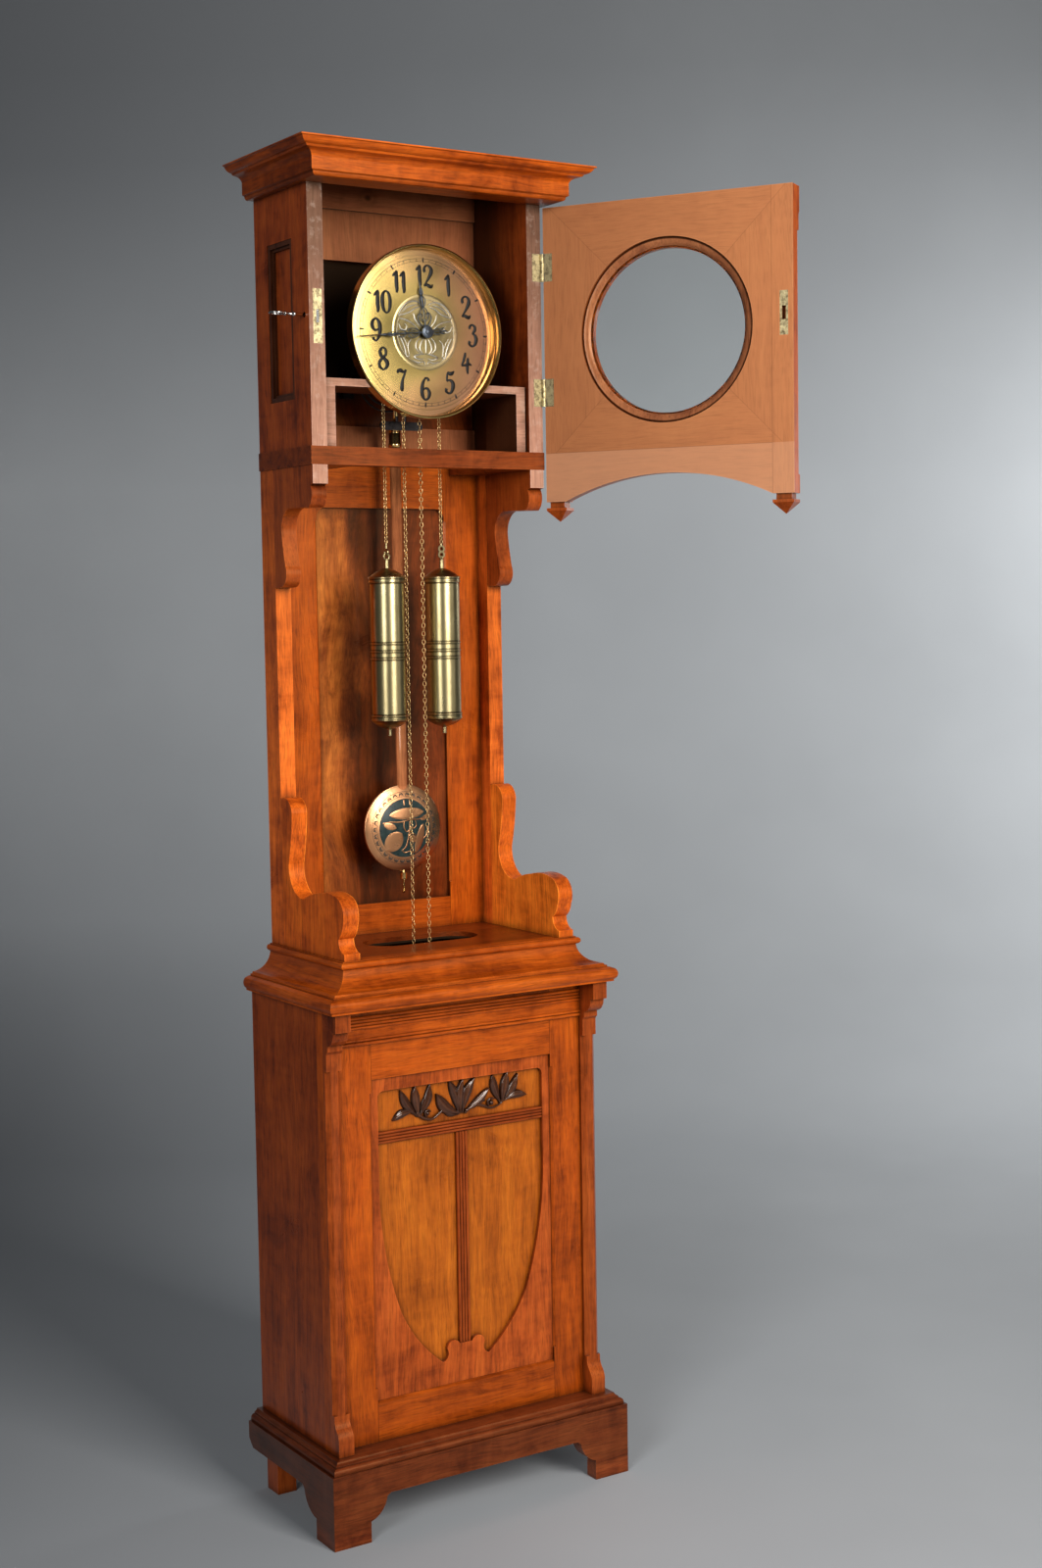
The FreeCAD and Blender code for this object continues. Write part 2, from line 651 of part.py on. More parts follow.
def anchor_crutch():
    arbor = rod_y(0, PIVOT_Z, 1.5, PENDULUM_D + 8, PLATE_FRONT + 1)
    pallets = front_prism(
        [(-20, PIVOT_Z - 14), (-17, PIVOT_Z - 14), ("arc", (0, PIVOT_Z - 3), (17, PIVOT_Z - 14)),
         (20, PIVOT_Z - 14), ("arc", (0, PIVOT_Z + 5), (-20, PIVOT_Z - 14))], 118, 121)
    rod = box(-1.2, 1.2, PENDULUM_D + 9, PENDULUM_D + 11, PIVOT_Z - 104, PIVOT_Z)
    fork = box(-5, 5, PENDULUM_D - 5, PENDULUM_D + 11, PIVOT_Z - 106, PIVOT_Z - 103)
    fork = fork.cut(box(-1.75, 1.75, PENDULUM_D - 6, PENDULUM_D + 5, PIVOT_Z - 107, PIVOT_Z - 102))
    return arbor.fuse(pallets).fuse(rod).fuse(fork)


# ---- weights, chains, pendulum ----
WEIGHT_TOP = 1545.0
CHAIN_PITCH = 125.0 / 18
CHAIN_FOOT = WHEEL_Z - 42 * CHAIN_PITCH
WEIGHT_R = 28.9
FREE_END = 755.0
STRAND_R = 1.6


def eight_link(x, z):
    """A flat brass link in the shape of an eight, its lower eye at z."""
    upper = z + 9.6
    plate = rod_y(x, z, 6.2, CHAIN_D - 1.1, CHAIN_D + 1.1)
    plate = plate.fuse(rod_y(x, upper, 6.2, CHAIN_D - 1.1, CHAIN_D + 1.1))
    for eye in (z, upper):
        plate = plate.cut(rod_y(x, eye, 3.3, CHAIN_D - 2, CHAIN_D + 2))
    return plate


def weight(x):
    """A domed brass cylinder with a flange at each end, three beads and a hook."""
    t = WEIGHT_TOP
    b = t - 262.0
    r = WEIGHT_R
    profile = [(0, t + 18), (2.8, t + 18), (3.6, t + 15), (3.6, t + 3)]
    profile += [("arc", (16, t - 2), (r - 1.5, t - 10))]
    profile += [(r + 1.6, t - 11.5), (r + 2.3, t - 12.5), (r + 2.3, t - 13.5), (r + 1.3, t - 14.5)]
    profile += [(r + 1.3, t - 18.5), (r + 2.0, t - 19.5), (r + 2.0, t - 20.5), (r, t - 22)]
    for z in (t - 121, t - 134, t - 146):
        profile += [(r, z + 1.5), ("arc", (r + 1, z), (r, z - 1.5))]
    profile += [(r, b + 24), (r + 1.5, b + 22.5), (r + 1.5, b + 21.5), (r + 0.9, b + 20.5)]
    profile += [(r + 0.9, b + 16.5)]
    profile += [(r + 1.6, b + 15.5), (r + 1.6, b + 14.5), (r - 1.0, b + 11.5)]
    profile += [("arc", (17, b + 4), (4, b)), (3, b - 2), (3, b - 11), (0, b - 13)]
    body = turned_z(profile, x, CHAIN_D)
    if x > 0:
        eye = Part.makeTorus(3.2, 1.0, V(x, y_of(CHAIN_D), t + 20.5), AXIS_X)
        link = eight_link(x, t + 25.3)
        foot = t + 40
    else:
        eye = Part.makeTorus(5, 1.5, V(x, y_of(CHAIN_D), t + 22), AXIS_Y)
        link = Part.makeTorus(5, 1.5, V(x, y_of(CHAIN_D), t + 28.8), AXIS_X)
        foot = t + 33.5
    tail = rod_z(x, CHAIN_D, 1.6, foot, CHAIN_FOOT)
    return Part.makeCompound([body.fuse(eye), link.fuse(tail)])


def weight_strand(x):
    return rod_z(x, CHAIN_D, STRAND_R, CHAIN_FOOT, WHEEL_Z)


def free_strand(x):
    return rod_z(x, CHAIN_D, STRAND_R, FREE_END, WHEEL_Z)


def chain_end(x):
    ring = Part.makeTorus(8, 1.5, V(x, y_of(CHAIN_D), FREE_END - 9.5), AXIS_X)
    return ring.fuse(rod_z(x, CHAIN_D, 1.6, FREE_END - 2.5, FREE_END))


def pendulum_rod():
    d = PENDULUM_D
    spring = box(-3, 3, d - 0.4, d + 0.4, PIVOT_Z - 30, PIVOT_Z + 1)
    hook = box(-6, 6, d - 2.5, d + 2.5, PIVOT_Z - 36, PIVOT_Z - 24)
    leader = rod_z(0, d, 1.6, 1790, PIVOT_Z - 35)
    ferrule = turned_z([(0, 1794), (5, 1794), (8.5, 1788), (10, 1783), (10, 1757), (11, 1756),
                        (11, 1750), (0, 1750)], 0, d)
    section = [(-7, d - 5), (7, d - 5), ("arc", (10, d), (7, d + 5))]
    section += [(-7, d + 5), ("arc", (-10, d), (-7, d - 5))]
    wood = plan_prism(section, BOB_Z - 62, 1751)
    screw = rod_z(0, d, 2.5, 1000, BOB_Z - 61)
    return spring.multiFuse([hook, leader, ferrule, wood, screw])


def pendulum_bob():
    d = PENDULUM_D
    profile = [(0, d - 14), ("arc", (46, d - 10), (BOB_RADIUS - 1.5, d - 2)), (BOB_RADIUS, d - 1.5)]
    profile += [(BOB_RADIUS, d + 1.5), (BOB_RADIUS - 1.5, d + 2), ("arc", (46, d + 10), (0, d + 14))]
    lens = turned_y(profile, 0, BOB_Z)
    way = plan_prism([(-7.2, d - 5.2), (7.2, d - 5.2), ("arc", (10.2, d), (7.2, d + 5.2)), (-7.2, d + 5.2),
                      ("arc", (-10.2, d), (-7.2, d - 5.2))], BOB_Z - 90, BOB_Z + 90)
    return lens.cut(way)


def rating_nut():
    z = BOB_Z - BOB_RADIUS
    profile = [(2.55, z - 14), (4.6, z - 14), (5.8, z - 12.8), (5.8, z - 3.2), (4.6, z - 2), (2.55, z - 2)]
    return turned_z(profile, 0, PENDULUM_D)


# ---- door ----
DOOR_X0 = -217.5
DOOR_X1 = 217.0
DOOR_IN = 189.2
DOOR_T = 21.0
DOOR_OUT = DOOR_IN + DOOR_T
STILE_END = 1656.0
OPENING_R = 150.0
GLASS_R = 143.0


def swing(shape):
    """The closed door's piece turned to the open rest position."""
    shape.rotate(V(HINGE_X, y_of(HINGE_D), 0), AXIS_Z, DOOR_OPEN)
    return shape


def door_frame():
    outline = [(DOOR_X0, STILE_END), (DOOR_X0, DOOR_TOP), (DOOR_X1, DOOR_TOP), (DOOR_X1, STILE_END)]
    outline += [(182, STILE_END), ("arc", (0, 1696.5), (-182, STILE_END))]
    frame = front_prism(outline, DOOR_IN, DOOR_OUT)
    frame = frame.cut(rod_y(0, DIAL_Z, OPENING_R, DOOR_IN - 1, DOOR_IN + 12))
    frame = frame.cut(rod_y(0, DIAL_Z, 133, DOOR_IN - 1, DOOR_OUT + 1))
    for z0 in HINGE_ZS:
        frame = frame.cut(knuckle_space(z0))
        frame = frame.cut(box(201, DOOR_X1 + 1, DOOR_IN - 1, DOOR_IN + 1.3, z0, z0 + LEAF_HEIGHT))
    frame = frame.cut(box(LOCK_X - 7, LOCK_X + 7, DOOR_IN - 1, DOOR_IN + 1.6, LOCK_Z - 35, LOCK_Z + 35))
    frame = frame.cut(box(LOCK_X - 3.6, LOCK_X + 3.6, DOOR_IN - 1, DOOR_IN + 12, LOCK_Z - 12, LOCK_Z + 12))
    return swing(frame)


def glass_ring():
    """The wooden bead that keeps the glass in its rebate, seen from inside the door."""
    profile = [(OPENING_R, DOOR_IN + 12), (OPENING_R, DOOR_IN + 7), (OPENING_R - 4, DOOR_IN + 3.5)]
    profile += [("arc", (OPENING_R - 10, DOOR_IN + 5.5), (OPENING_R - 14, DOOR_IN + 9))]
    profile += [(OPENING_R - 14, DOOR_IN + 9.5)]
    profile += [(GLASS_R, DOOR_IN + 9.5), (GLASS_R, DOOR_IN + 12)]
    return swing(turned_y(profile, 0, DIAL_Z))


def door_glass():
    return swing(rod_y(0, DIAL_Z, GLASS_R, DOOR_IN + 9.5, DOOR_IN + 12))


def door_face_trim():
    """Upright strips with cap blocks on the door's outer face and a bead round the glass."""
    x0 = 183.0
    strip = box(x0, DOOR_X1, DOOR_OUT, DOOR_OUT + 10, STILE_END, DOOR_TOP - 44)
    cut = 7.0
    for x, way in ((x0, 1), (DOOR_X1, -1)):
        inner = x + way * cut
        bevel = [(x, DOOR_OUT + 10 - cut), (x, DOOR_OUT + 11), (inner, DOOR_OUT + 11), (inner, DOOR_OUT + 10)]
        strip = strip.cut(plan_prism(bevel, STILE_END + 30, DOOR_TOP - 70))
    cap = box(x0, DOOR_X1, DOOR_OUT, DOOR_OUT + 14, DOOR_TOP - 40, DOOR_TOP)
    slope = [(DOOR_OUT, DOOR_TOP - 44), (DOOR_OUT + 10, DOOR_TOP - 44)]
    slope += [(DOOR_OUT + 14, DOOR_TOP - 40), (DOOR_OUT, DOOR_TOP - 40)]
    neck = side_prism(slope, x0, DOOR_X1)
    right = strip.fuse(neck).fuse(cap).removeSplitter()
    left = mirrored(right)
    left.translate(V(DOOR_X0 + DOOR_X1, 0, 0))
    bead = turned_y([(133, DOOR_OUT), (147, DOOR_OUT), ("arc", (143, DOOR_OUT + 6), (136, DOOR_OUT + 4)),
                     (133, DOOR_OUT + 2)], 0, DIAL_Z)
    return swing(Part.makeCompound([right, left, bead]))


def pyramid(x0, x1, d0, d1, z_base, z_tip):
    """A four-sided point between a rectangle and a tip."""
    corners = [(x0, d0), (x1, d0), (x1, d1), (x0, d1)]
    base = [V(x, y_of(d), z_base) for x, d in corners]
    tip = V((x0 + x1) / 2, y_of((d0 + d1) / 2), z_tip)
    faces = [Part.Face(Part.makePolygon(base + [base[0]]))]
    for i in range(4):
        a = base[i]
        b = base[(i + 1) % 4]
        faces.append(Part.Face(Part.makePolygon([a, b, tip, a])))
    return Part.makeSolid(Part.makeShell(faces))


def door_pendants():
    x0 = 181.0
    x1 = DOOR_X1
    d0 = DOOR_IN
    d1 = DOOR_OUT + 10
    mid_x = (x0 + x1) / 2
    mid_d = (d0 + d1) / 2
    neck = box(mid_x - 13, mid_x + 13, mid_d - 11, mid_d + 11, 1646, STILE_END)
    plate = box(x0, x1, d0, d1, 1641.5, 1646)
    point = pyramid(x0, x1, d0, d1, 1641.5, 1623)
    right = neck.fuse(plate).fuse(point)
    left = mirrored(right)
    left.translate(V(DOOR_X0 + DOOR_X1, 0, 0))
    return swing(Part.makeCompound([right, left]))


def screw_head(x, z, d0, d1):
    return rod_y(x, z, 2.4, d0, d1)


def case_hinge_leaves():
    solids = []
    for z0 in HINGE_ZS:
        plate = box(201, HINGE_X - 2, HOOD_DEPTH - 1.3, HOOD_DEPTH, z0 + 0.2, z0 + LEAF_HEIGHT - 0.2)
        plate = plate.cut(rod_z(HINGE_X, HINGE_D, KNUCKLE + 0.4, z0 + 14.8, z0 + 31))
        for z in (z0 + 0.2, z0 + 31):
            plate = plate.fuse(rod_z(HINGE_X, HINGE_D, KNUCKLE, z, z + 14.6))
            web = box(HINGE_X - 4, HINGE_X - 1.5, HOOD_DEPTH - 1.3, HINGE_D, z, z + 14.6)
            plate = plate.fuse(web)
        plate = plate.cut(rod_z(HINGE_X, HINGE_D, 1.5, z0 - 1, z0 + LEAF_HEIGHT + 1))
        solids.append(plate)
        solids.append(rod_z(HINGE_X, HINGE_D, 1.5, z0 + 0.2, z0 + LEAF_HEIGHT - 0.2))
        for z in (z0 + 10, z0 + 36):
            solids.append(screw_head(207.5, z, HOOD_DEPTH, HOOD_DEPTH + 0.4))
    return Part.makeCompound(solids)


def door_hinge_leaves():
    solids = []
    for z0 in HINGE_ZS:
        plate = box(201.5, HINGE_X - 4.4, DOOR_IN, DOOR_IN + 1.3, z0 + 0.2, z0 + LEAF_HEIGHT - 0.2)
        barrel = rod_z(HINGE_X, HINGE_D, KNUCKLE, z0 + 15.1, z0 + 30.7)
        web = box(HINGE_X - 4.5, HINGE_X - 1.8, DOOR_IN, DOOR_IN + 1.3, z0 + 15.1, z0 + 30.7)
        plate = plate.fuse(barrel).fuse(web).cut(rod_z(HINGE_X, HINGE_D, 1.55, z0 + 14, z0 + 32))
        solids.append(plate)
        for z in (z0 + 10, z0 + 36):
            solids.append(screw_head(207.5, z, DOOR_IN - 0.4, DOOR_IN))
    return swing(Part.makeCompound(solids))


# ---- lock ----
BOLT_TRAVEL = 8.0


def lock_case():
    plate = box(LOCK_X - 8, LOCK_X + 8, HOOD_DEPTH - 1.6, HOOD_DEPTH, LOCK_Z - 42.5, LOCK_Z + 42.5)
    shell = box(LOCK_X - 6, LOCK_X + 6, 150, HOOD_DEPTH - 1.6, LOCK_Z - 30, LOCK_Z + 30)
    shell = shell.cut(box(LOCK_X - 4.5, LOCK_X + 4.5, 152, HOOD_DEPTH - 3.2, LOCK_Z - 28, LOCK_Z + 28))
    body = plate.fuse(shell)
    mouth = box(LOCK_X - 2.6, LOCK_X + 2.6, HOOD_DEPTH - 5, HOOD_DEPTH + 1, LOCK_Z - 10.1, LOCK_Z + 10.1)
    body = body.cut(mouth)
    body = body.cut(Part.makeCylinder(4.3, 8, V(LOCK_X - 8, y_of(KEY_D), KEY_Z), AXIS_X))
    solids = [body]
    for z in (LOCK_Z - 36, LOCK_Z + 36):
        solids.append(screw_head(LOCK_X, z, HOOD_DEPTH, HOOD_DEPTH + 0.4))
    return Part.makeCompound(solids)


def lock_bolt():
    bolt = box(LOCK_X - 2.5, LOCK_X + 2.5, HOOD_DEPTH - 9, HOOD_DEPTH - 0.3, LOCK_Z - 10, LOCK_Z + 10)
    return bolt


def key():
    shank = Part.makeCylinder(2.6, 48, V(LOCK_X - 3.6 - 48, y_of(KEY_D), KEY_Z), AXIS_X)
    bit = box(LOCK_X - 4, LOCK_X - 0.5, KEY_D - 7.5, KEY_D, KEY_Z - 1, KEY_Z + 1)
    bit = bit.fuse(Part.makeCylinder(2.6, 3.2, V(LOCK_X - 3.7, y_of(KEY_D), KEY_Z), AXIS_X))
    collar = Part.makeCylinder(4.2, 3, V(-TRUNK_HALF - 18, y_of(KEY_D), KEY_Z), AXIS_X)
    centre = V(LOCK_X - 3.6 - 48 - 11.5, y_of(KEY_D), KEY_Z - 1.6)
    outer = Part.makeCylinder(13, 3.2, centre, AXIS_Z)
    ring = outer.cut(Part.makeCylinder(9, 3.2, centre, AXIS_Z))
    return shank.fuse(bit).fuse(collar).fuse(ring)


def strike_plate():
    plate = box(LOCK_X - 6.9, LOCK_X + 6.9, DOOR_IN, DOOR_IN + 1.6, LOCK_Z - 34.9, LOCK_Z + 34.9)
    plate = plate.cut(box(LOCK_X - 3.2, LOCK_X + 3.2, DOOR_IN - 1, DOOR_IN + 2, LOCK_Z - 11, LOCK_Z + 11))
    solids = [plate]
    for z in (LOCK_Z - 27, LOCK_Z + 27):
        solids.append(screw_head(LOCK_X, z, DOOR_IN - 0.4, DOOR_IN))
    return swing(Part.makeCompound(solids))


PIECES = {
    "plinth_boards": plinth_boards,
    "rear_legs": rear_legs,
    "plinth_moulding": plinth_moulding,
    "base_sides": base_sides,
    "base_back_board": base_back_board,
    "base_front_frame": base_front_frame,
    "shield_ground_panel": shield_ground_panel,
    "shield_overlay_board": shield_overlay_board,
    "panel_reeding": panel_reeding,
    "carved_flowers": carved_flowers,
    "frieze_board": frieze_board,
    "corner_pilasters": corner_pilasters,
    "base_top_board": base_top_board,
    "platform_moulding": platform_moulding,
    "platform_board": platform_board,
    "trunk_sides": trunk_sides,
    "back_panel": back_panel,
    "trunk_back_frame": trunk_back_frame,
    "upper_brackets": upper_brackets,
    "lower_brackets": lower_brackets,
    "hood_floor_board": hood_floor_board,
    "hood_sides": hood_sides,
    "side_panel_mouldings": side_panel_mouldings,
    "hood_back_boards": hood_back_boards,
    "hood_top_board": hood_top_board,
    "cornice_moulding": cornice_moulding,
    "movement_seat": movement_seat,
    "movement_frame": movement_frame,
    "dial_plate": dial_plate,
    "dial_bezel": dial_bezel,
    "dial_medallion": dial_medallion,
    "gong": gong,
    "case_hinge_leaves": case_hinge_leaves,
    "lock_case": lock_case,
    "minute_hand": minute_hand,
    "hour_hand": hour_hand,
    "anchor_crutch": anchor_crutch,
    "pendulum_rod": pendulum_rod,
    "pendulum_bob": pendulum_bob,
    "rating_nut": rating_nut,
    "door_frame": door_frame,
    "glass_ring": glass_ring,
    "door_glass": door_glass,
    "door_face_trim": door_face_trim,
    "door_pendants": door_pendants,
    "door_hinge_leaves": door_hinge_leaves,
    "strike_plate": strike_plate,
    "lock_bolt": lock_bolt,
    "key": key,
}
for name, make in PIECES.items():
    save(make(), name)
for side, sign in (("left", -1), ("right", 1)):
    save(weight(sign * WEIGHT_X), "weight_" + side)
    save(weight_strand(sign * WEIGHT_X), "weight_chain_" + side)
    save(free_strand(sign * FREE_X), "free_chain_" + side)
    save(chain_end(sign * FREE_X), "chain_end_" + side)
    save(chain_wheel(sign * WHEEL_X), "chain_wheel_" + side)
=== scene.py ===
import json
import math

import bmesh
import bpy
from mathutils import Matrix, Vector


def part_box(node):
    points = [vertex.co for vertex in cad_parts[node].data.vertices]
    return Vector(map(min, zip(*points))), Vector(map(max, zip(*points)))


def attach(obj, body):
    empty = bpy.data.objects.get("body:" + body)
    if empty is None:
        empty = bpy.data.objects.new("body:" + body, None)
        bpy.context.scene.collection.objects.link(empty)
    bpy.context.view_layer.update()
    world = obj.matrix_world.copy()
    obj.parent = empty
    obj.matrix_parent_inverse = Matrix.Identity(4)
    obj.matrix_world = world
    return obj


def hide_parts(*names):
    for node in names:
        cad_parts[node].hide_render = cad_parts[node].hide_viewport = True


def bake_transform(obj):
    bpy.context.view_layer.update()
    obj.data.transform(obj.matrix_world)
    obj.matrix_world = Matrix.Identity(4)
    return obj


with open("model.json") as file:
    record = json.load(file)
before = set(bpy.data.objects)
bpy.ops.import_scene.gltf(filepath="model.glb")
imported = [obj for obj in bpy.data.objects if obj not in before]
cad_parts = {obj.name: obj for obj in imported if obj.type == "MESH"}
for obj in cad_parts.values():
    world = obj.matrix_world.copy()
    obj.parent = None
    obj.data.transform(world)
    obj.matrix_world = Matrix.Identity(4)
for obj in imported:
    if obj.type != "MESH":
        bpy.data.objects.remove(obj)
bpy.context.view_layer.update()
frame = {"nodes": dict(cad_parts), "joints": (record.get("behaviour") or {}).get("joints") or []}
NODES = frame["nodes"]
JOINTS = {j["name"]: j for j in frame["joints"]}
BACK_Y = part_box("back_panel")[1].y


def y_of(depth_mm):
    """The frame's Y of a place that many millimetres in front of the clock's back."""
    return BACK_Y - depth_mm / 1000.0


def mid(node):
    low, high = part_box(node)
    return (low + high) / 2


HINGE = Vector(JOINTS["hood_door_hinge"]["pos_m"])
DOOR_OPEN = math.radians(-JOINTS["hood_door_hinge"]["range_deg"][0])
DIAL = mid("dial_bezel")
PENDULUM = Vector(JOINTS["pendulum_swing"]["pos_m"])
BOB = mid("pendulum_bob")
PLATFORM_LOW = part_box("platform_board")[0].z + 0.004
WHITE = (1.0, 1.0, 1.0)
WARM_POLISH = (1.0, 0.50, 0.22)


# ---------------------------------------------------------------- materials
class Graph:
    """A material's nodes, built by short calls."""

    def __init__(self, name):
        self.mat = bpy.data.materials.new(name)
        self.mat.use_nodes = True
        self.nodes = self.mat.node_tree.nodes
        self.links = self.mat.node_tree.links
        self.bsdf = self.nodes["Principled BSDF"]
        self.place = self.add("ShaderNodeTexCoord").outputs["Object"]
        self.x, self.y, self.z = self.xyz(self.place)

    def put(self, socket, value):
        if hasattr(value, "is_output"):
            self.links.new(value, socket)
        elif hasattr(value, "__len__") and len(value) == 3 and len(getattr(socket, "default_value", ())) == 4:
            socket.default_value = (*value, 1.0)
        else:
            socket.default_value = value

    def add(self, kind, facts=(), numbered=(), **inputs):
        """A node with its settings and with its inputs by number or by name."""
        node = self.nodes.new(kind)
        for key, value in facts:
            setattr(node, key, value)
        for index, value in numbered:
            self.put(node.inputs[index], value)
        for key, value in inputs.items():
            self.put(node.inputs[key.replace("_", " ")], value)
        return node

    def math(self, operation, *values):
        facts = (("operation", operation),)
        return self.add("ShaderNodeMath", facts, enumerate(values)).outputs[0]

    def times(self, a, b):
        return self.math("MULTIPLY", a, b)

    def plus(self, a, b):
        return self.math("ADD", a, b)

    def minus(self, a, b):
        return self.math("SUBTRACT", a, b)

    def times_plus(self, a, b, c):
        return self.math("MULTIPLY_ADD", a, b, c)

    def larger(self, a, b):
        return self.math("MAXIMUM", a, b)

    def smaller(self, a, b):
        return self.math("MINIMUM", a, b)

    def inverse(self, a):
        return self.minus(1.0, a)

    def size(self, a):
        return self.math("ABSOLUTE", a)

    def length(self, a, b):
        return self.math("SQRT", self.plus(self.times(a, a), self.times(b, b)))

    def depth(self, y):
        """How far a place is towards the front."""
        return self.times(y, -1.0)

    def range(self, value, low, high, to_low, to_high):
        node = self.add("ShaderNodeMapRange", Value=value, From_Min=low, From_Max=high, To_Min=to_low,
                        To_Max=to_high)
        return node.outputs[0]

    def above(self, value, edge, width=0.0003):
        """0 below the edge and 1 above it."""
        return self.range(value, edge - width, edge + width, 0.0, 1.0)

    def below(self, value, edge, width=0.0003):
        return self.inverse(self.above(value, edge, width))

    def from_centre(self, centre):
        """The way right, the way up and the distance from a point of the front."""
        dx = self.minus(self.x, centre.x)
        dz = self.minus(self.z, centre.z)
        return dx, dz, self.length(dx, dz)

    def xyz(self, vector):
        return self.add("ShaderNodeSeparateXYZ", Vector=vector).outputs

    def vector(self, operation, a, b):
        facts = (("operation", operation),)
        return self.add("ShaderNodeVectorMath", facts, ((0, a), (1, b))).outputs[0]

    def mapping(self, vector, scale=(1, 1, 1), location=(0, 0, 0), rotation=(0, 0, 0)):
        node = self.add("ShaderNodeMapping", Vector=vector, Scale=scale, Location=location, Rotation=rotation)
        return node.outputs[0]

    def noise(self, vector, scale, detail=4.0, rough=0.55, distort=0.0):
        node = self.add("ShaderNodeTexNoise", Vector=vector, Scale=scale, Detail=detail, Roughness=rough,
                        Distortion=distort)
        return node.outputs["Fac"]

    def turned_rings(self, reach, pitch):
        """The fine lines that a lathe leaves, at a distance from the centre."""
        line = self.add("ShaderNodeCombineXYZ", X=self.times(reach, pitch)).outputs[0]
        return self.noise(line, 1.0, 3.0, 0.6)

    def warp(self, vector, scale, amount):
        """The place shifted by a soft noise, so straight fibres wander."""
        node = self.add("ShaderNodeTexNoise", Vector=vector, Scale=scale, Detail=2.0, Roughness=0.5)
        centred = self.vector("SUBTRACT", node.outputs["Color"], (0.5, 0.5, 0.5))
        return self.vector("ADD", vector, self.vector("MULTIPLY", centred, (amount, amount, amount)))

    def ramp(self, value, *stops):
        node = self.add("ShaderNodeValToRGB", Fac=value)
        elements = node.color_ramp.elements
        while len(elements) < len(stops):
            elements.new(0.5)
        for element, (at, colour) in zip(elements, stops):
            element.position = at
            element.color = (*colour, 1.0)
        return node.outputs["Color"]

    def mix(self, factor, a, b, blend="MIX"):
        facts = (("data_type", "RGBA"), ("blend_type", blend))
        return self.add("ShaderNodeMix", facts, ((0, factor), (6, a), (7, b))).outputs[2]

    def blend_value(self, factor, a, b):
        facts = (("data_type", "FLOAT"),)
        return self.add("ShaderNodeMix", facts, ((0, factor), (2, a), (3, b))).outputs[0]

    def tinted(self, colour, other):
        return self.mix(1.0, colour, other, "MULTIPLY")

    def shaded(self, colour, tone):
        """The colour made darker or paler by one number."""
        grey = self.add("ShaderNodeCombineColor", (), enumerate((tone, tone, tone))).outputs[0]
        return self.tinted(colour, grey)

    def bump(self, height, strength, distance):
        node = self.add("ShaderNodeBump", Height=height, Strength=strength, Distance=distance)
        self.put(self.bsdf.inputs["Normal"], node.outputs[0])

    def finish(self, colour, **inputs):
        self.put(self.bsdf.inputs["Base Color"], colour)
        for key, value in inputs.items():
            self.put(self.bsdf.inputs[key.replace("_", " ")], value)
        return self.mat


def shades(red, green, blue, spread=0.5):
    """Dark, middle and light tones of one wood colour."""
    dark = (red * (1 - spread), green * (1 - spread * 1.15), blue * (1 - spread * 1.05))
    light = (min(1.0, red * (1 + spread * 0.62)), green * (1 + spread * 0.95), blue * (1 + spread * 0.9))
    return dark, (red, green, blue), light


MAHOGANY = shades(0.290, 0.049, 0.0070, 0.56)
RED = shades(0.250, 0.039, 0.0055, 0.58)
ORANGE = shades(0.390, 0.062, 0.0036, 0.54)
HONEY = shades(0.400, 0.088, 0.0060, 0.46)
DARK_RED = shades(0.140, 0.026, 0.0065, 0.62)
BACK = shades(0.370, 0.058, 0.0080, 0.62)
PALE = shades(0.345, 0.122, 0.045, 0.24)
PINK = shades(0.330, 0.165, 0.110, 0.3)
PINE = shades(0.240, 0.070, 0.027, 0.5)
UMBER = shades(0.060, 0.015, 0.006, 0.6)
AMBER = shades(0.640, 0.150, 0.0130, 0.5)
RUSSET = shades(0.560, 0.102, 0.0110, 0.54)
WALNUT = shades(0.105, 0.030, 0.012, 0.5)


def along_axis(axis, along, across=1.0):
    """A scale for X, Y and Z that differs along the fibres."""
    return tuple(along if letter == axis else across for letter in "XYZ")


def grain(g, vector, axis, tones, offset, scale=1.0, contrast=1.0):
    """The colour, the pores and the patches of wood whose fibres run along an axis."""
    shift = (offset * 1.37, offset * 0.71, offset * 2.13)
    bent = g.warp(g.mapping(vector, (1, 1, 1), shift), 3.5, 0.035)
    long_vec = g.mapping(bent, along_axis(axis, 0.10))
    pore_vec = g.mapping(bent, along_axis(axis, 0.05))
    broad = g.noise(long_vec, 46.0 * scale, 9.0, 0.70, 0.9)
    figure = g.noise(long_vec, 11.0 * scale, 3.0, 0.55, 1.6)
    patch = g.noise(bent, 7.5, 5.0, 0.62, 0.6)
    mottle = g.noise(g.mapping(bent, along_axis(axis, 1.0, 0.45)), 42.0, 4.0, 0.6, 0.7)
    pores = g.noise(pore_vec, 520.0, 2.0, 0.5, 0.2)
    fleck = g.noise(pore_vec, 210.0, 4.0, 0.65, 0.3)
    total = g.times(broad, 0.36)
    for part, share in ((figure, 0.20), (patch, 0.28), (mottle, 0.16)):
        total = g.times_plus(part, share, total)
    spread = 0.105 / contrast
    t = g.range(total, 0.5 - spread, 0.5 + spread, 0.0, 1.0)
    colour = g.ramp(t, (0.0, tones[0]), (0.5, tones[1]), (1.0, tones[2]))
    deep = 1.0 - 0.34 * min(contrast, 1.0)
    dark = g.times(g.range(pores, 0.50, 0.68, 1.0, deep), g.range(fleck, 0.36, 0.62, deep + 0.16, 1.10))
    return g.shaded(colour, dark), pores, patch


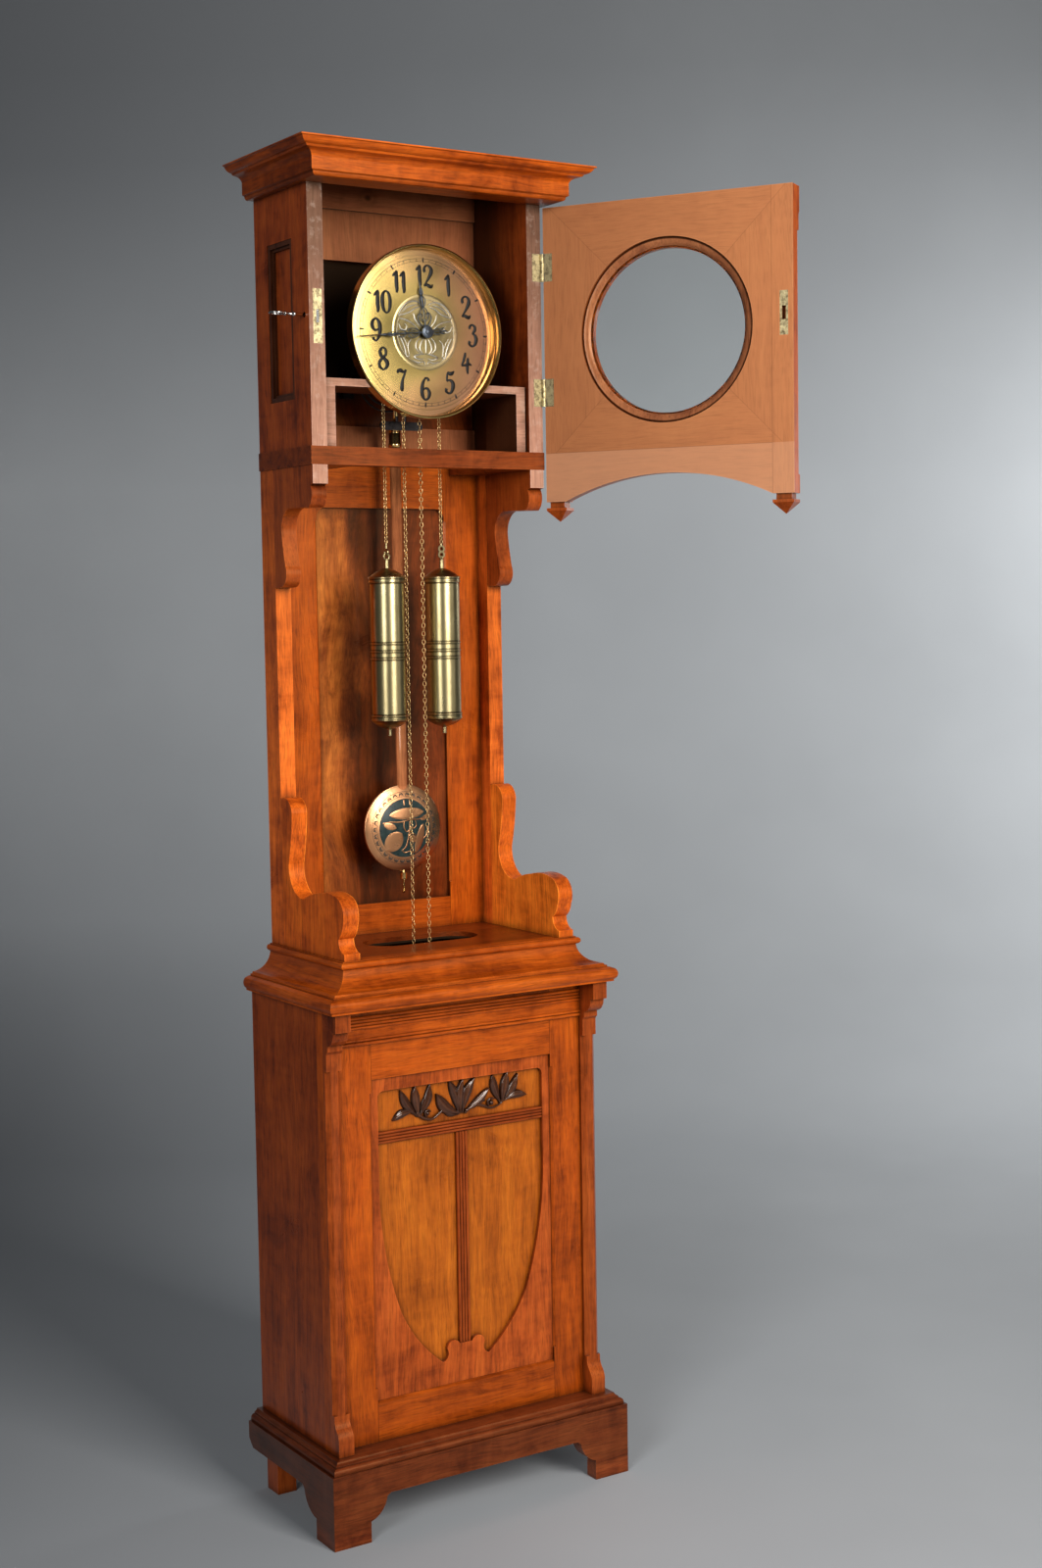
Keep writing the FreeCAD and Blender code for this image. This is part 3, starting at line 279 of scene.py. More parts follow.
def aged(g, colour, hollow=0.15, wear_and_highlight=0.32):
    """Darker corners and creases, partly dark glaze and partly painted shade, and paler convex edges, partly
    rubbed wear and partly a painted highlight.
    """
    # Painted shade with dark glaze: ambient occlusion darkens the corners and creases.
    inner = g.add("ShaderNodeAmbientOcclusion", (("samples", 4),), Distance=0.015)
    colour = g.shaded(colour, g.range(inner.outputs["AO"], 0.30, 0.94, hollow, 1.0))
    # Painted highlight with rubbed wear: convex edges are mixed towards a paler colour.
    outer = g.add("ShaderNodeAmbientOcclusion", (("samples", 4), ("inside", True)), Distance=0.0022)
    edge = g.range(outer.outputs["AO"], 0.35, 0.95, wear_and_highlight, 0.0)
    return g.mix(edge, colour, g.tinted(colour, (1.9, 2.1, 2.4)))


def mitre(half_mm, depth_mm):
    """Fibres that turn at a mitred front corner and run back along the sides."""
    def way(g):
        side_way = g.minus(g.size(g.x), half_mm / 1000)
        front_way = g.minus(g.depth(g.y), -y_of(depth_mm))
        return g.minus(side_way, front_way), 0.0
    return "Y", way


def stile(half_mm):
    """Upright fibres beyond a distance from the middle."""
    def way(g):
        return g.size(g.x), half_mm / 1000
    return "Z", way


def lower(top_mm):
    """Upright fibres below a height."""
    def way(g):
        return g.times(g.z, -1.0), -top_mm / 1000
    return "Z", way


class Board(Graph):
    """A board's polished wood, with the steps that change its tone and gloss in places."""

    def __init__(self, name, tones, axis, offset, scale, contrast):
        super().__init__(name)
        self.fibres = (tones, offset, scale, contrast)
        self.axis = axis
        self.colour, self.pores, self.patch = grain(self, self.place, axis, *self.fibres)

    def turn_fibres(self, second, side_shade):
        """The fibres run another way on one side of a joint, which shows as a fine line."""
        axis, way = second
        tones, offset, scale, contrast = self.fibres
        colour, pores, _ = grain(self, self.place, axis, tones, offset + 3.7, scale, contrast)
        value, edge = way(self)
        mask = self.above(value, edge, 0.0004)
        line = self.range(self.size(self.minus(value, edge)), 0.0002, 0.0009, 0.45, 1.0)
        # The side beyond the joint is darkened by a factor: painted shade on the boards' sides.
        self.colour = self.mix(mask, self.colour, self.shaded(colour, side_shade))
        self.pores = self.blend_value(mask, self.pores, pores)
        self.colour = self.shaded(self.colour, line)

    def add_knot(self, kx, kz, size):
        dz = self.times(self.minus(self.z, kz), 1.25)
        reach = self.length(self.minus(self.x, kx), dz)
        ring = self.math("SINE", self.times(reach, 2.6 / size))
        core = self.range(reach, size * 0.4, size, 0.25, 1.0)
        near = self.times(core, self.range(ring, -1.0, 1.0, 0.80, 1.0))
        shade = self.blend_value(self.range(reach, size * 1.4, size * 3.0, 0.0, 1.0), near, 1.0)
        self.colour = self.shaded(self.colour, shade)

    def dull(self, mask, rough):
        self.gloss = self.blend_value(mask, self.gloss, rough)
        self.coat = self.times(self.inverse(mask), self.coat)

    def add_pale_front(self, depth_mm):
        """A pale front edge: partly bare, scuffed wood and partly a painted sheen, darker towards the top."""
        _, offset, scale, _ = self.fibres
        pale, _, _ = grain(self, self.place, self.axis, PINK, offset + 8.3, scale, 0.8)
        scuff = self.noise(self.place, 60.0, 5.0, 0.7)
        pale = self.shaded(pale, self.range(self.z, 1.74, 2.10, 1.25, 0.36))
        pale = self.mix(self.range(scuff, 0.52, 0.66, 0.0, 0.18), pale, (0.62, 0.47, 0.38))
        mask = self.above(self.depth(self.y), -y_of(depth_mm), 0.0002)
        # Scuffed bare wood and a painted sheen on the front edge.
        self.colour = self.mix(mask, self.colour, pale)
        self.dull(mask, 0.6)

    def darken_hollow(self, half, back, front, top):
        """Painted shade: near black, dull wood inside a box that is closed to the light."""
        depth = self.depth(self.y)
        inside = self.times(self.below(self.size(self.x), half), self.above(depth, -y_of(back)))
        inside = self.times(inside, self.below(depth, -y_of(front)))
        inside = self.times(inside, self.below(self.z, top))
        self.colour = self.mix(inside, self.colour, (0.006, 0.0035, 0.0025))
        self.dull(inside, 0.9)

    def darken_inner_faces(self, half, back, front):
        """Painted shade: the sides' inner faces, darker towards the back."""
        inner_face = self.below(self.size(self.x), half)
        shade = self.range(self.depth(self.y), -y_of(back), -y_of(front), 0.10, 0.95)
        self.colour = self.shaded(self.colour, self.blend_value(inner_face, 1.0, shade))
        self.gloss = self.blend_value(inner_face, self.gloss, 0.55)


def wood(name, tones, axis="Z", offset=0.0, rough=0.32, coat=0.08, second=None, contrast=1.0, scale=1.0,
         side_shade=1.0, tone=None, fade=None, knot=None, pale_front=None, hollow=None, inner_face_shade=None,
         dark_edges=None, dull_above=None, specular=0.42):
    """Polished wood: tone shades all of it, and fade shades it between two heights."""
    g = Board(name, tones, axis, offset, scale, contrast)
    if second:
        g.turn_fibres(second, side_shade)
    if tone:
        g.colour = g.shaded(g.colour, tone)
    if fade:
        g.colour = g.shaded(g.colour, g.range(g.z, *fade))
    if knot:
        g.add_knot(*knot)
    g.gloss = g.range(g.patch, 0.3, 0.7, rough - 0.06, rough + 0.09)
    g.coat = coat
    # A pale front edge: scuffed wood and a painted sheen.
    if pale_front:
        g.add_pale_front(pale_front)
    # Painted shade: near black inside the hollow box.
    if hollow:
        g.darken_hollow(*hollow)
    # Painted shade on the sides' inner faces.
    if inner_face_shade:
        g.darken_inner_faces(*inner_face_shade)
    if dark_edges:
        rim = g.above(g.size(g.x), dark_edges, 0.0006)
        g.colour = g.tinted(g.colour, g.mix(rim, WHITE, (0.70, 0.50, 0.42)))
    if dull_above:
        mask = g.above(g.z, dull_above, 0.0002)
        g.dull(mask, 0.85)
        specular = g.times(g.inverse(mask), specular)
    g.bump(g.pores, 0.16, 0.0004)
    return g.finish(aged(g, g.colour), Roughness=g.gloss, Coat_Weight=g.coat, Coat_Roughness=0.10,
                    Specular_IOR_Level=specular, Specular_Tint=WARM_POLISH)


def back_wood(name):
    """Figured veneer: a dark curl in the middle, plainer wood on the right and a strip on the left made paler
    by painted light.
    """
    g = Graph(name)
    swirl = g.warp(g.place, 3.0, 0.10)
    colour, pores, patch = grain(g, swirl, "Z", BACK, 3.0, 0.7, 1.0)
    n = g.noise(g.mapping(g.place, (1, 1, 0.35), (3.1, 0, 1.7)), 6.0, 5.0, 0.6, 1.2)
    wander = g.times_plus(g.minus(n, 0.5), 0.20, g.x)
    # Painted light: the strip on the left is made paler and yellower.
    left = g.range(wander, -0.105, -0.050, 1.0, 0.0)
    right = g.range(wander, 0.040, 0.100, 0.0, 1.0)
    curl = g.noise(g.mapping(swirl, (1, 1, 0.22), (0.4, 0, 0)), 22.0, 5.0, 0.6, 1.8)
    tone = g.times_plus(left, 0.80, g.range(curl, 0.36, 0.64, 0.10, 0.26))
    tone = g.times_plus(right, 0.30, tone)
    tone = g.blend_value(g.range(g.z, 1.66, 1.74, 0.0, 1.0), tone, 1.05)
    colour = g.tinted(colour, g.mix(left, WHITE, (1.15, 1.85, 2.0)))
    colour = g.shaded(colour, tone)
    face = g.above(g.depth(g.y), -y_of(5.0))
    # Painted shade: the recess behind the movement is made near black and dull.
    inside = g.times(g.above(g.z, 1.842, 0.02), g.below(g.z, 2.060, 0.003))
    inside = g.times(inside, face)
    # Painted shadow of the seat: the front face is darker above the seat's height.
    seat_shadow = g.blend_value(face, 1.0, g.range(g.z, 1.770, 1.800, 1.0, 0.30))
    colour = g.shaded(colour, seat_shadow)
    colour = g.mix(inside, colour, (0.004, 0.0028, 0.0022))
    gloss = g.blend_value(inside, g.range(patch, 0.3, 0.7, 0.26, 0.40), 0.9)
    g.bump(pores, 0.12, 0.0004)
    return g.finish(aged(g, colour), Roughness=gloss, Coat_Weight=g.times_plus(inside, -0.15, 0.15),
                    Coat_Roughness=0.10, Specular_IOR_Level=0.42, Specular_Tint=WARM_POLISH)


def door_wood(name):
    """The door's veneers: a mitred square about the window, a strip at the free edge and a bottom rail."""
    rail_top = 1.737
    strip_x = -0.182
    g = Graph(name)
    turn = Matrix.Rotation(-DOOR_OPEN, 3, "Z")
    hinge = Vector((HINGE.x, HINGE.y, 0))
    vector = g.mapping(g.place, (1, 1, 1), hinge - turn @ hinge, (0, 0, -DOOR_OPEN))
    x, y, z = g.xyz(vector)
    upright, pores_z, patch = grain(g, vector, "Z", PALE, 1.2, 1.0, 0.42)
    level, pores_x, _ = grain(g, vector, "X", PALE, 5.9, 1.0, 0.42)
    way = g.minus(g.size(x), g.size(g.minus(z, DIAL.z + 0.008)))
    low = g.below(z, rail_top, 0.0004)
    edge = g.below(x, strip_x, 0.0004)
    rail = g.times(low, g.inverse(edge))
    side = g.larger(g.times(g.above(way, 0.0, 0.0004), g.inverse(rail)), edge)
    colour = g.mix(side, level, upright)
    pores = g.blend_value(side, pores_x, pores_z)
    colour = g.shaded(colour, g.range(x, -0.19, 0.19, 1.22, 0.86))
    colour = g.mix(g.times(low, 0.30), colour, (0.60, 0.33, 0.20))
    seam_mitre = g.larger(g.size(way), low)
    seam_low = g.larger(g.size(g.minus(z, rail_top)), edge)
    seam_edge = g.size(g.minus(x, strip_x))
    seam = g.smaller(seam_mitre, g.smaller(seam_low, seam_edge))
    colour = g.shaded(colour, g.range(seam, 0.0001, 0.0008, 0.62, 1.0))
    outer = g.above(g.depth(y), -y_of(189.2) + 0.004, 0.0004)
    shine, _, _ = grain(g, vector, "Z", ORANGE, 2.2)
    colour = g.mix(outer, colour, shine)
    rough = g.blend_value(outer, g.range(patch, 0.3, 0.7, 0.42, 0.56), 0.28)
    g.bump(pores, 0.14, 0.0004)
    return g.finish(aged(g, colour, 0.5, 0.25), Roughness=rough, Coat_Weight=g.times(outer, 0.12),
                    Coat_Roughness=0.12, Specular_IOR_Level=0.3, Specular_Tint=(1.0, 0.66, 0.42))


def carve_wood(name):
    """Ebonised carving: near black in the hollows, red-brown on the rounded leaves, high gloss."""
    g = Graph(name)
    n = g.noise(g.place, 120.0, 5.0, 0.6, 0.8)
    height = g.range(g.depth(g.y), -y_of(CARVING_GROUND), -y_of(CARVING_GROUND + 8), 0.0, 1.0)
    t = g.plus(g.times(height, 0.6), g.times(n, 0.5))
    colour = g.ramp(t, (0.28, (0.008, 0.0035, 0.002)), (0.62, (0.044, 0.013, 0.0055)),
                    (0.95, (0.10, 0.033, 0.013)))
    g.bump(n, 0.2, 0.0005)
    return g.finish(aged(g, colour, 0.3, 0.15), Roughness=0.28, Coat_Weight=0.6, Coat_Roughness=0.07,
                    Specular_IOR_Level=0.2, Specular_Tint=(1.0, 0.6, 0.35))


def metal(name, bright, dull, rough=0.25, scale=60.0, metallic=1.0, spots=0.35, rings=None):
    """A metal with patina, fine scratches and, where rings is a centre and a pitch, a turned sheen."""
    g = Graph(name)
    patina = g.noise(g.place, scale, 6.0, 0.62, 0.4)
    t = g.range(patina, 0.5 - spots * 0.4, 0.5 + spots * 0.5, 0.0, 1.0)
    middle = tuple((a + b) / 2 for a, b in zip(bright, dull))
    colour = g.ramp(t, (0.0, bright), (0.55, middle), (1.0, dull))
    gloss = g.range(patina, 0.3, 0.7, rough * 0.75, rough * 1.35)
    if rings:
        height = g.turned_rings(g.from_centre(rings[0])[2], rings[1])
    else:
        height = g.noise(g.mapping(g.place, (1, 1, 0.15)), scale * 14, 2.0, 0.5)
    g.bump(height, 0.2, 0.0002)
    return g.finish(colour, Metallic=metallic, Roughness=gloss)


def painted(name, colour, rough):
    g = Graph(name)
    wear = g.noise(g.place, 140.0, 4.0)
    brighter = tuple(min(1.0, c * 1.9 + 0.01) for c in colour)
    g.bump(g.noise(g.place, 900.0, 3.0), 0.08, 0.0002)
    return g.finish(g.mix(g.range(wear, 0.45, 0.75, 0.0, 0.6), colour, brighter), Metallic=0.0,
                    Roughness=g.range(wear, 0.3, 0.7, rough * 0.8, rough * 1.2), Specular_IOR_Level=0.25)


def glass(name):
    g = Graph(name)
    rough = g.range(g.noise(g.place, 12.0, 3.0), 0.4, 0.8, 0.0, 0.02)
    return g.finish((0.93, 0.955, 0.95), Roughness=rough, Transmission_Weight=1.0, IOR=1.02, Alpha=1.0)


def dial_metal(name, tones, gloss):
    """Lacquered metal turned in fine rings: olive brass in the middle, copper at the rim, and a painted sheen
    that turns the right side copper and the top darker.
    """
    g = Graph(name)
    dx, dz, r = g.from_centre(DIAL)
    patch = g.noise(g.place, 9.0, 3.0, 0.5, 0.6)
    # Painted sheen: the colour leans to copper towards the right and to darker olive towards the top.
    side_sheen = g.plus(g.times(dx, 2.4), g.times(dz, -0.4))
    t = g.plus(g.plus(g.times(r, 4.4), side_sheen), g.times(patch, 0.40))
    colour = g.ramp(t, *zip((0.22, 0.52, 0.74, 0.95), tones))
    line = g.range(g.size(g.minus(r, 0.1240)), 0.0002, 0.0008, 0.5, 0.0)
    g.bump(g.turned_rings(r, 2600.0), 0.004, 0.0003)
    around_it = g.add("ShaderNodeCombineXYZ", X=g.times(dz, -1.0), Z=dx).outputs[0]
    turned = g.add("ShaderNodeVectorMath", (("operation", "NORMALIZE"),), ((0, around_it),)).outputs[0]
    return g.finish(g.mix(line, colour, (0.16, 0.09, 0.04)), Metallic=1.0, Tangent=turned, Anisotropic=0.3,
                    Roughness=g.range(patch, 0.3, 0.7, gloss - 0.03, gloss + 0.04))


def weight_metal():
    """Antique brass: blackened in the grooves by the flanges and the beads, rubbed bright between them."""
    g = Graph("weights_antique_brass")
    cap_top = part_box("weight_left")[0].z + 0.013 + 0.262
    n = g.noise(g.mapping(g.place, (1, 1, 0.3)), 60.0, 5.0, 0.6)
    colour = g.ramp(n, (0.35, (0.43, 0.35, 0.18)), (0.68, (0.31, 0.245, 0.115)))
    grooves = [(drop, 0.0010) for drop in (0.1185, 0.1235, 0.1315, 0.1365, 0.1435, 0.1485)]
    grooves += [(drop, 0.0011) for drop in (0.0225, 0.2375, 0.2495)]
    grooves += [(drop, 0.0012) for drop in (0.0155, 0.2425)]
    dark = 0.0
    for drop, half in grooves:
        band = g.range(g.size(g.minus(g.z, cap_top - drop)), half * 0.5, half * 1.4, 0.85, 0.0)
        dark = g.larger(dark, band)
    colour = g.mix(dark, colour, (0.09, 0.07, 0.035))
    streaks = g.noise(g.mapping(g.place, (1, 1, 0.06)), 130.0, 3.0, 0.5)
    colour = g.shaded(colour, g.range(streaks, 0.3, 0.7, 0.86, 1.08))
    g.bump(g.noise(g.place, 500.0, 2.0), 0.006, 0.0002)
    return g.finish(colour, Metallic=1.0, Roughness=g.range(n, 0.3, 0.7, 0.27, 0.30))


def relief_metal(name, low_y, high_y, dark, light):
    """A cast relief with dark hollows and rubbed highlights."""
    g = Graph(name)
    height = g.range(g.depth(g.y), -low_y, -high_y, 0.0, 1.0)
    n = g.noise(g.place, 380.0, 4.0, 0.6)
    t = g.plus(height, g.times(g.minus(n, 0.5), 0.5))
    g.bump(n, 0.2, 0.0003)
    return g.finish(g.ramp(t, (0.15, dark), (0.75, light)), Metallic=0.95,
                    Roughness=g.range(n, 0.3, 0.7, 0.24, 0.4))


def movement_metal():
    """Brass plates above the seat, a dark steel bar below it."""
    seat_z = 1.8
    g = Graph("movement_plates_and_bar")
    n = g.noise(g.place, 150.0, 6.0, 0.62, 0.4)
    brass = g.ramp(n, (0.35, (0.60, 0.45, 0.17)), (0.7, (0.22, 0.15, 0.06)))
    steel = g.ramp(n, (0.35, (0.05, 0.045, 0.045)), (0.7, (0.018, 0.015, 0.014)))
    g.bump(n, 0.2, 0.0002)
    return g.finish(g.mix(g.above(g.z, seat_z, 0.0005), steel, brass), Metallic=1.0,
                    Roughness=g.range(n, 0.3, 0.7, 0.26, 0.48))


# The carved panel's surface, in mm in front of the clock's back.
CARVING_GROUND = 239.0
DIAL_TONES = ((0.34, 0.26, 0.075), (0.44, 0.305, 0.10), (0.62, 0.34, 0.15), (0.68, 0.35, 0.19))
MEDALLION_TONES = ((0.33, 0.25, 0.10), (0.36, 0.27, 0.13), (0.40, 0.26, 0.15), (0.40, 0.26, 0.16))
LOOKS = {
    "brass": metal("brass_polished", (0.80, 0.55, 0.22), (0.42, 0.27, 0.10), 0.20, 45.0, spots=0.3),
    "brass_aged": metal("brass_aged", (0.44, 0.36, 0.19), (0.17, 0.13, 0.07), 0.44, 150.0, spots=0.25),
    "brass_chain": metal("brass_chain", (0.86, 0.60, 0.27), (0.50, 0.32, 0.12), 0.34, 220.0),
    "brass_weight": weight_metal(),
    "bezel": metal("bezel_brass", (0.60, 0.44, 0.16), (0.40, 0.27, 0.09), 0.17, 20.0, spots=0.5,
                   rings=(DIAL, 3200.0)),
    "nickel": metal("key_nickel", (0.74, 0.72, 0.69), (0.40, 0.37, 0.34), 0.16, 80.0),
    "steel_blue": metal("hands_blued", (0.080, 0.092, 0.108), (0.028, 0.032, 0.040), 0.40, 220.0, 0.9),
    "copper_needle": metal("hand_tip_copper", (0.085, 0.040, 0.024), (0.04, 0.02, 0.012), 0.40, 200.0),
    "copper": metal("bob_copper", (0.56, 0.27, 0.125), (0.42, 0.19, 0.085), 0.30, 30.0, spots=0.5,
                    rings=(BOB, 2400.0)),
    "iron": metal("iron_dark", (0.060, 0.052, 0.050), (0.020, 0.016, 0.015), 0.42, 120.0, 0.9),
    "movement": movement_metal(),
    "dial": dial_metal("dial_face_metal", DIAL_TONES, 0.22),
    "medallion_ground": dial_metal("medallion_ground_metal", MEDALLION_TONES, 0.26),
    "medallion": relief_metal("medallion_silvered", y_of(175.2), y_of(176.3), (0.30, 0.25, 0.16),
                              (0.50, 0.47, 0.41)),
    "ink": painted("numeral_ink", (0.006, 0.005, 0.0045), 0.5),
    "bob_dark": painted("bob_etched_ground", (0.010, 0.021, 0.019), 0.30),
    "glass": glass("door_glass_clear"),
    "carving": carve_wood("ebonised_carving"),
}

# The base's and the top's hollow, painted near black as shade: half width in m, back and front in mm, top in
# m.
BASE_INSIDE = (0.2385, 4.0, 232.0, 0.852)
TOP_INSIDE = (0.199, 4.0, 236.0, PLATFORM_LOW)
PLINTH_CORNER = mitre(257, 278.5)
WOODS = {
    # The plinth's sides are darkened: painted shade.
    "plinth_boards": dict(tones=DARK_RED, axis="X", second=PLINTH_CORNER, contrast=1.1, side_shade=0.6,
                          fade=(0.0, 0.03, 1.9, 0.85)),
    "rear_legs": dict(tones=MAHOGANY),
    "plinth_moulding": dict(tones=DARK_RED, axis="X", second=PLINTH_CORNER, side_shade=0.7),
    "base_sides": dict(tones=RED, contrast=1.1, hollow=BASE_INSIDE),
    "base_back_board": dict(tones=PINE, coat=0.0, rough=0.6, hollow=BASE_INSIDE),
    "base_front_frame": dict(tones=ORANGE, axis="X", second=stile(171), hollow=BASE_INSIDE,
                             fade=(0.15, 0.45, 0.84, 1.0)),
    "shield_ground_panel": dict(tones=HONEY, contrast=0.9, scale=1.3),
    "shield_overlay_board": dict(tones=MAHOGANY, contrast=1.1, tone=1.35),
    "panel_reeding": dict(tones=RED, axis="X", second=lower(621.5)),
    "frieze_board": dict(tones=ORANGE, axis="X"),
    "corner_pilasters": dict(tones=MAHOGANY),
    "base_top_board": dict(tones=ORANGE, axis="X", second=mitre(257, 294.8), hollow=TOP_INSIDE),
    "platform_moulding": dict(tones=ORANGE, axis="X", second=mitre(199.5, 237.5), hollow=TOP_INSIDE),
    "platform_board": dict(tones=RED, axis="X", tone=0.62, hollow=TOP_INSIDE),
    "trunk_sides": dict(tones=RUSSET, contrast=1.1, fade=(1.20, 1.60, 1.30, 0.86)),
    "trunk_back_frame": dict(tones=ORANGE, axis="X", second=stile(123)),
    "upper_brackets": dict(tones=MAHOGANY, pale_front=187.5),
    "lower_brackets": dict(tones=AMBER, contrast=1.2, tone=1.40, dark_edges=0.1905),
    "hood_floor_board": dict(tones=RED, axis="X", contrast=1.2, tone=0.66),
    "hood_sides": dict(tones=RED, pale_front=187.6, contrast=1.2, inner_face_shade=(0.192, 70, 175)),
    "side_panel_mouldings": dict(tones=UMBER),
    "hood_back_boards": dict(tones=PINE, axis="X", rough=0.42, coat=0.05, second=lower(2142.5), contrast=0.7,
                             knot=(-0.018, 2.166, 0.0085)),
    "hood_top_board": dict(tones=PINE, axis="X", rough=0.8, coat=0.0, specular=0.0),
    # The cornice: darker below the crown and on its sides, both painted shade.
    "cornice_moulding": dict(tones=ORANGE, axis="X", second=mitre(217.5, 226.5), contrast=1.3, side_shade=0.6,
                             fade=(2.118, 2.182, 0.52, 1.12), dull_above=2.1995),
    "movement_seat": dict(tones=WALNUT, axis="X", second=stile(170.4), rough=0.5, coat=0.0, pale_front=179.5),
    "glass_ring": dict(tones=shades(0.30, 0.10, 0.040, 0.4)),
    "door_face_trim": dict(tones=ORANGE),
    "door_pendants": dict(tones=MAHOGANY),
}
PLAIN = {
    "glass": "door_glass",
    "movement": "movement_frame",
    "dial": "dial_plate",
    "bezel": "dial_bezel",
    "iron": "gong",
    "nickel": "lock_bolt",
    "brass": "anchor_crutch rating_nut chain_wheel_left chain_wheel_right chain_end_left chain_end_right",
    "brass_aged": "case_hinge_leaves door_hinge_leaves lock_case strike_plate",
    "brass_weight": "weight_left weight_right",
}
ROUNDED = """plinth_boards rear_legs base_sides base_front_frame trunk_sides trunk_back_frame upper_brackets
    lower_brackets hood_floor_board hood_sides corner_pilasters movement_seat door_frame door_face_trim
    door_pendants shield_overlay_board platform_board cornice_moulding base_top_board platform_moulding
    plinth_moulding"""


def give(node, material):
    mesh = NODES[node].data
    mesh.materials.clear()
    mesh.materials.append(material)


def soften(node, width_mm):
    """A small rounding on a board's edges."""
    m = NODES[node].modifiers.new("edge", "BEVEL")
    m.width = width_mm / 1000.0
    m.segments = 2
    m.limit_method = "ANGLE"
    m.angle_limit = math.radians(42)
    m.harden_normals = True


for number, (node, facts) in enumerate(WOODS.items()):
    give(node, wood("wood_" + node, offset=number * 1.73, **facts))
give("door_frame", door_wood("wood_door_frame"))
give("back_panel", back_wood("wood_back_panel"))
for key, nodes in PLAIN.items():
    for node in nodes.split():
        give(node, LOOKS[key])
for node in ROUNDED.split():
    soften(node, 0.9)


# ---------------------------------------------------------------- mesh helpers
def put_in_scene(name, data):
    obj = bpy.data.objects.new(name, data)
    bpy.context.scene.collection.objects.link(obj)
    return obj


def new_mesh(name, verts, faces, material):
    mesh = bpy.data.meshes.new(name)
    mesh.from_pydata([tuple(v) for v in verts], [], faces)
    mesh.materials.append(material)
    return mesh


def skin(rows, cols, wrap=True):
    """The faces between rows of points, with each row closed to a ring where wrap is set."""
    faces = []
    for row in range(rows):
        for k in range(cols if wrap else cols - 1):
            a = row * cols + k
            b = row * cols + (k + 1) % cols
            faces.append((a, b, b + cols, a + cols))
    return faces


def circle(count, turns=1.0):
    """The sine and the cosine of each place round a circle."""
    angles = [2 * math.pi * turns * k / count for k in range(count)]
    return [(math.sin(a), math.cos(a)) for a in angles]


class Build:
    """Vertices and faces that several small shapes add to."""

    def __init__(self):
        self.verts = []
        self.faces = []

    def add(self, verts, faces):
        base = len(self.verts)
        self.verts += list(verts)
        self.faces += [tuple(base + i for i in f) for f in faces]

    def tube(self, points, radii, sides=8, closed=False):
        """A round tube along points; radii is one number or one per point."""
        points = [Vector(p) for p in points]
        n = len(points)
        if not hasattr(radii, "__len__"):
            radii = [radii] * n
        tangents = []
        for i in range(n):
            a = points[(i - 1) % n] if closed or i else points[i]
            b = points[(i + 1) % n] if closed or i < n - 1 else points[i]
            tangents.append((b - a).normalized())
        normal = tangents[0].orthogonal().normalized()
        verts = []
        for point, tangent, radius in zip(points, tangents, radii):
            normal = (normal - tangent * normal.dot(tangent)).normalized()
            other = tangent.cross(normal)
            verts += [point + (normal * c + other * s) * radius for s, c in circle(sides)]
        faces = skin(n - 1, sides)
        last = (n - 1) * sides
        if closed:
            for k in range(sides):
                m = (k + 1) % sides
                faces.append((last + k, last + m, m, k))
        else:
            faces.append(tuple(range(sides)))
            faces.append(tuple(last + k for k in range(sides)))
        self.add(verts, faces)

    def lathe(self, profile, origin, axis, segments=64):
        """A profile of (radius, along) turned about an axis through origin."""
        axis = Vector(axis).normalized()
        u = axis.orthogonal().normalized()
        v = axis.cross(u)
        verts = []
        for r, along in profile:
            verts += [Vector(origin) + axis * along + (u * c + v * s) * r for s, c in circle(segments)]
        faces = skin(len(profile) - 1, segments)
        if profile[0][0] > 1e-7:
            faces.append(tuple(range(segments)))
        if profile[-1][0] > 1e-7:
            faces.append(tuple((len(profile) - 1) * segments + k for k in range(segments)))
        self.add(verts, faces)

    def piece(self, name, material, body, slot=None, replaces=None, smooth=True):
        """A piece of the clock, which rides on a body and may stand for a plain CAD part."""
        mesh = new_mesh(name, self.verts, self.faces, material)
        bm = bmesh.new()
        bm.from_mesh(mesh)
        bmesh.ops.recalc_face_normals(bm, faces=bm.faces)
        bm.to_mesh(mesh)
        bm.free()
        if smooth:
            mesh.shade_smooth()
        obj = put_in_scene(name, mesh)
        if body:
            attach(obj, body)
        if replaces:
            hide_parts(replaces)
        return obj


def spline(points, steps=6):
    """A smooth curve through points of any length of tuple."""
    out = []
    n = len(points)
    for i in range(n - 1):
        near = (points[max(i - 1, 0)], points[i], points[i + 1], points[min(i + 2, n - 1)])
        for s in range(steps):
            t = s / steps
            row = []
            for a, b, c, d in zip(*near):
                row.append(0.5 * (2 * b + (c - a) * t + (2 * a - 5 * b + 4 * c - d) * t * t
                                  + (3 * b - a - 3 * c + d) * t ** 3))
            out.append(tuple(row))
    out.append(tuple(points[-1]))
    return out


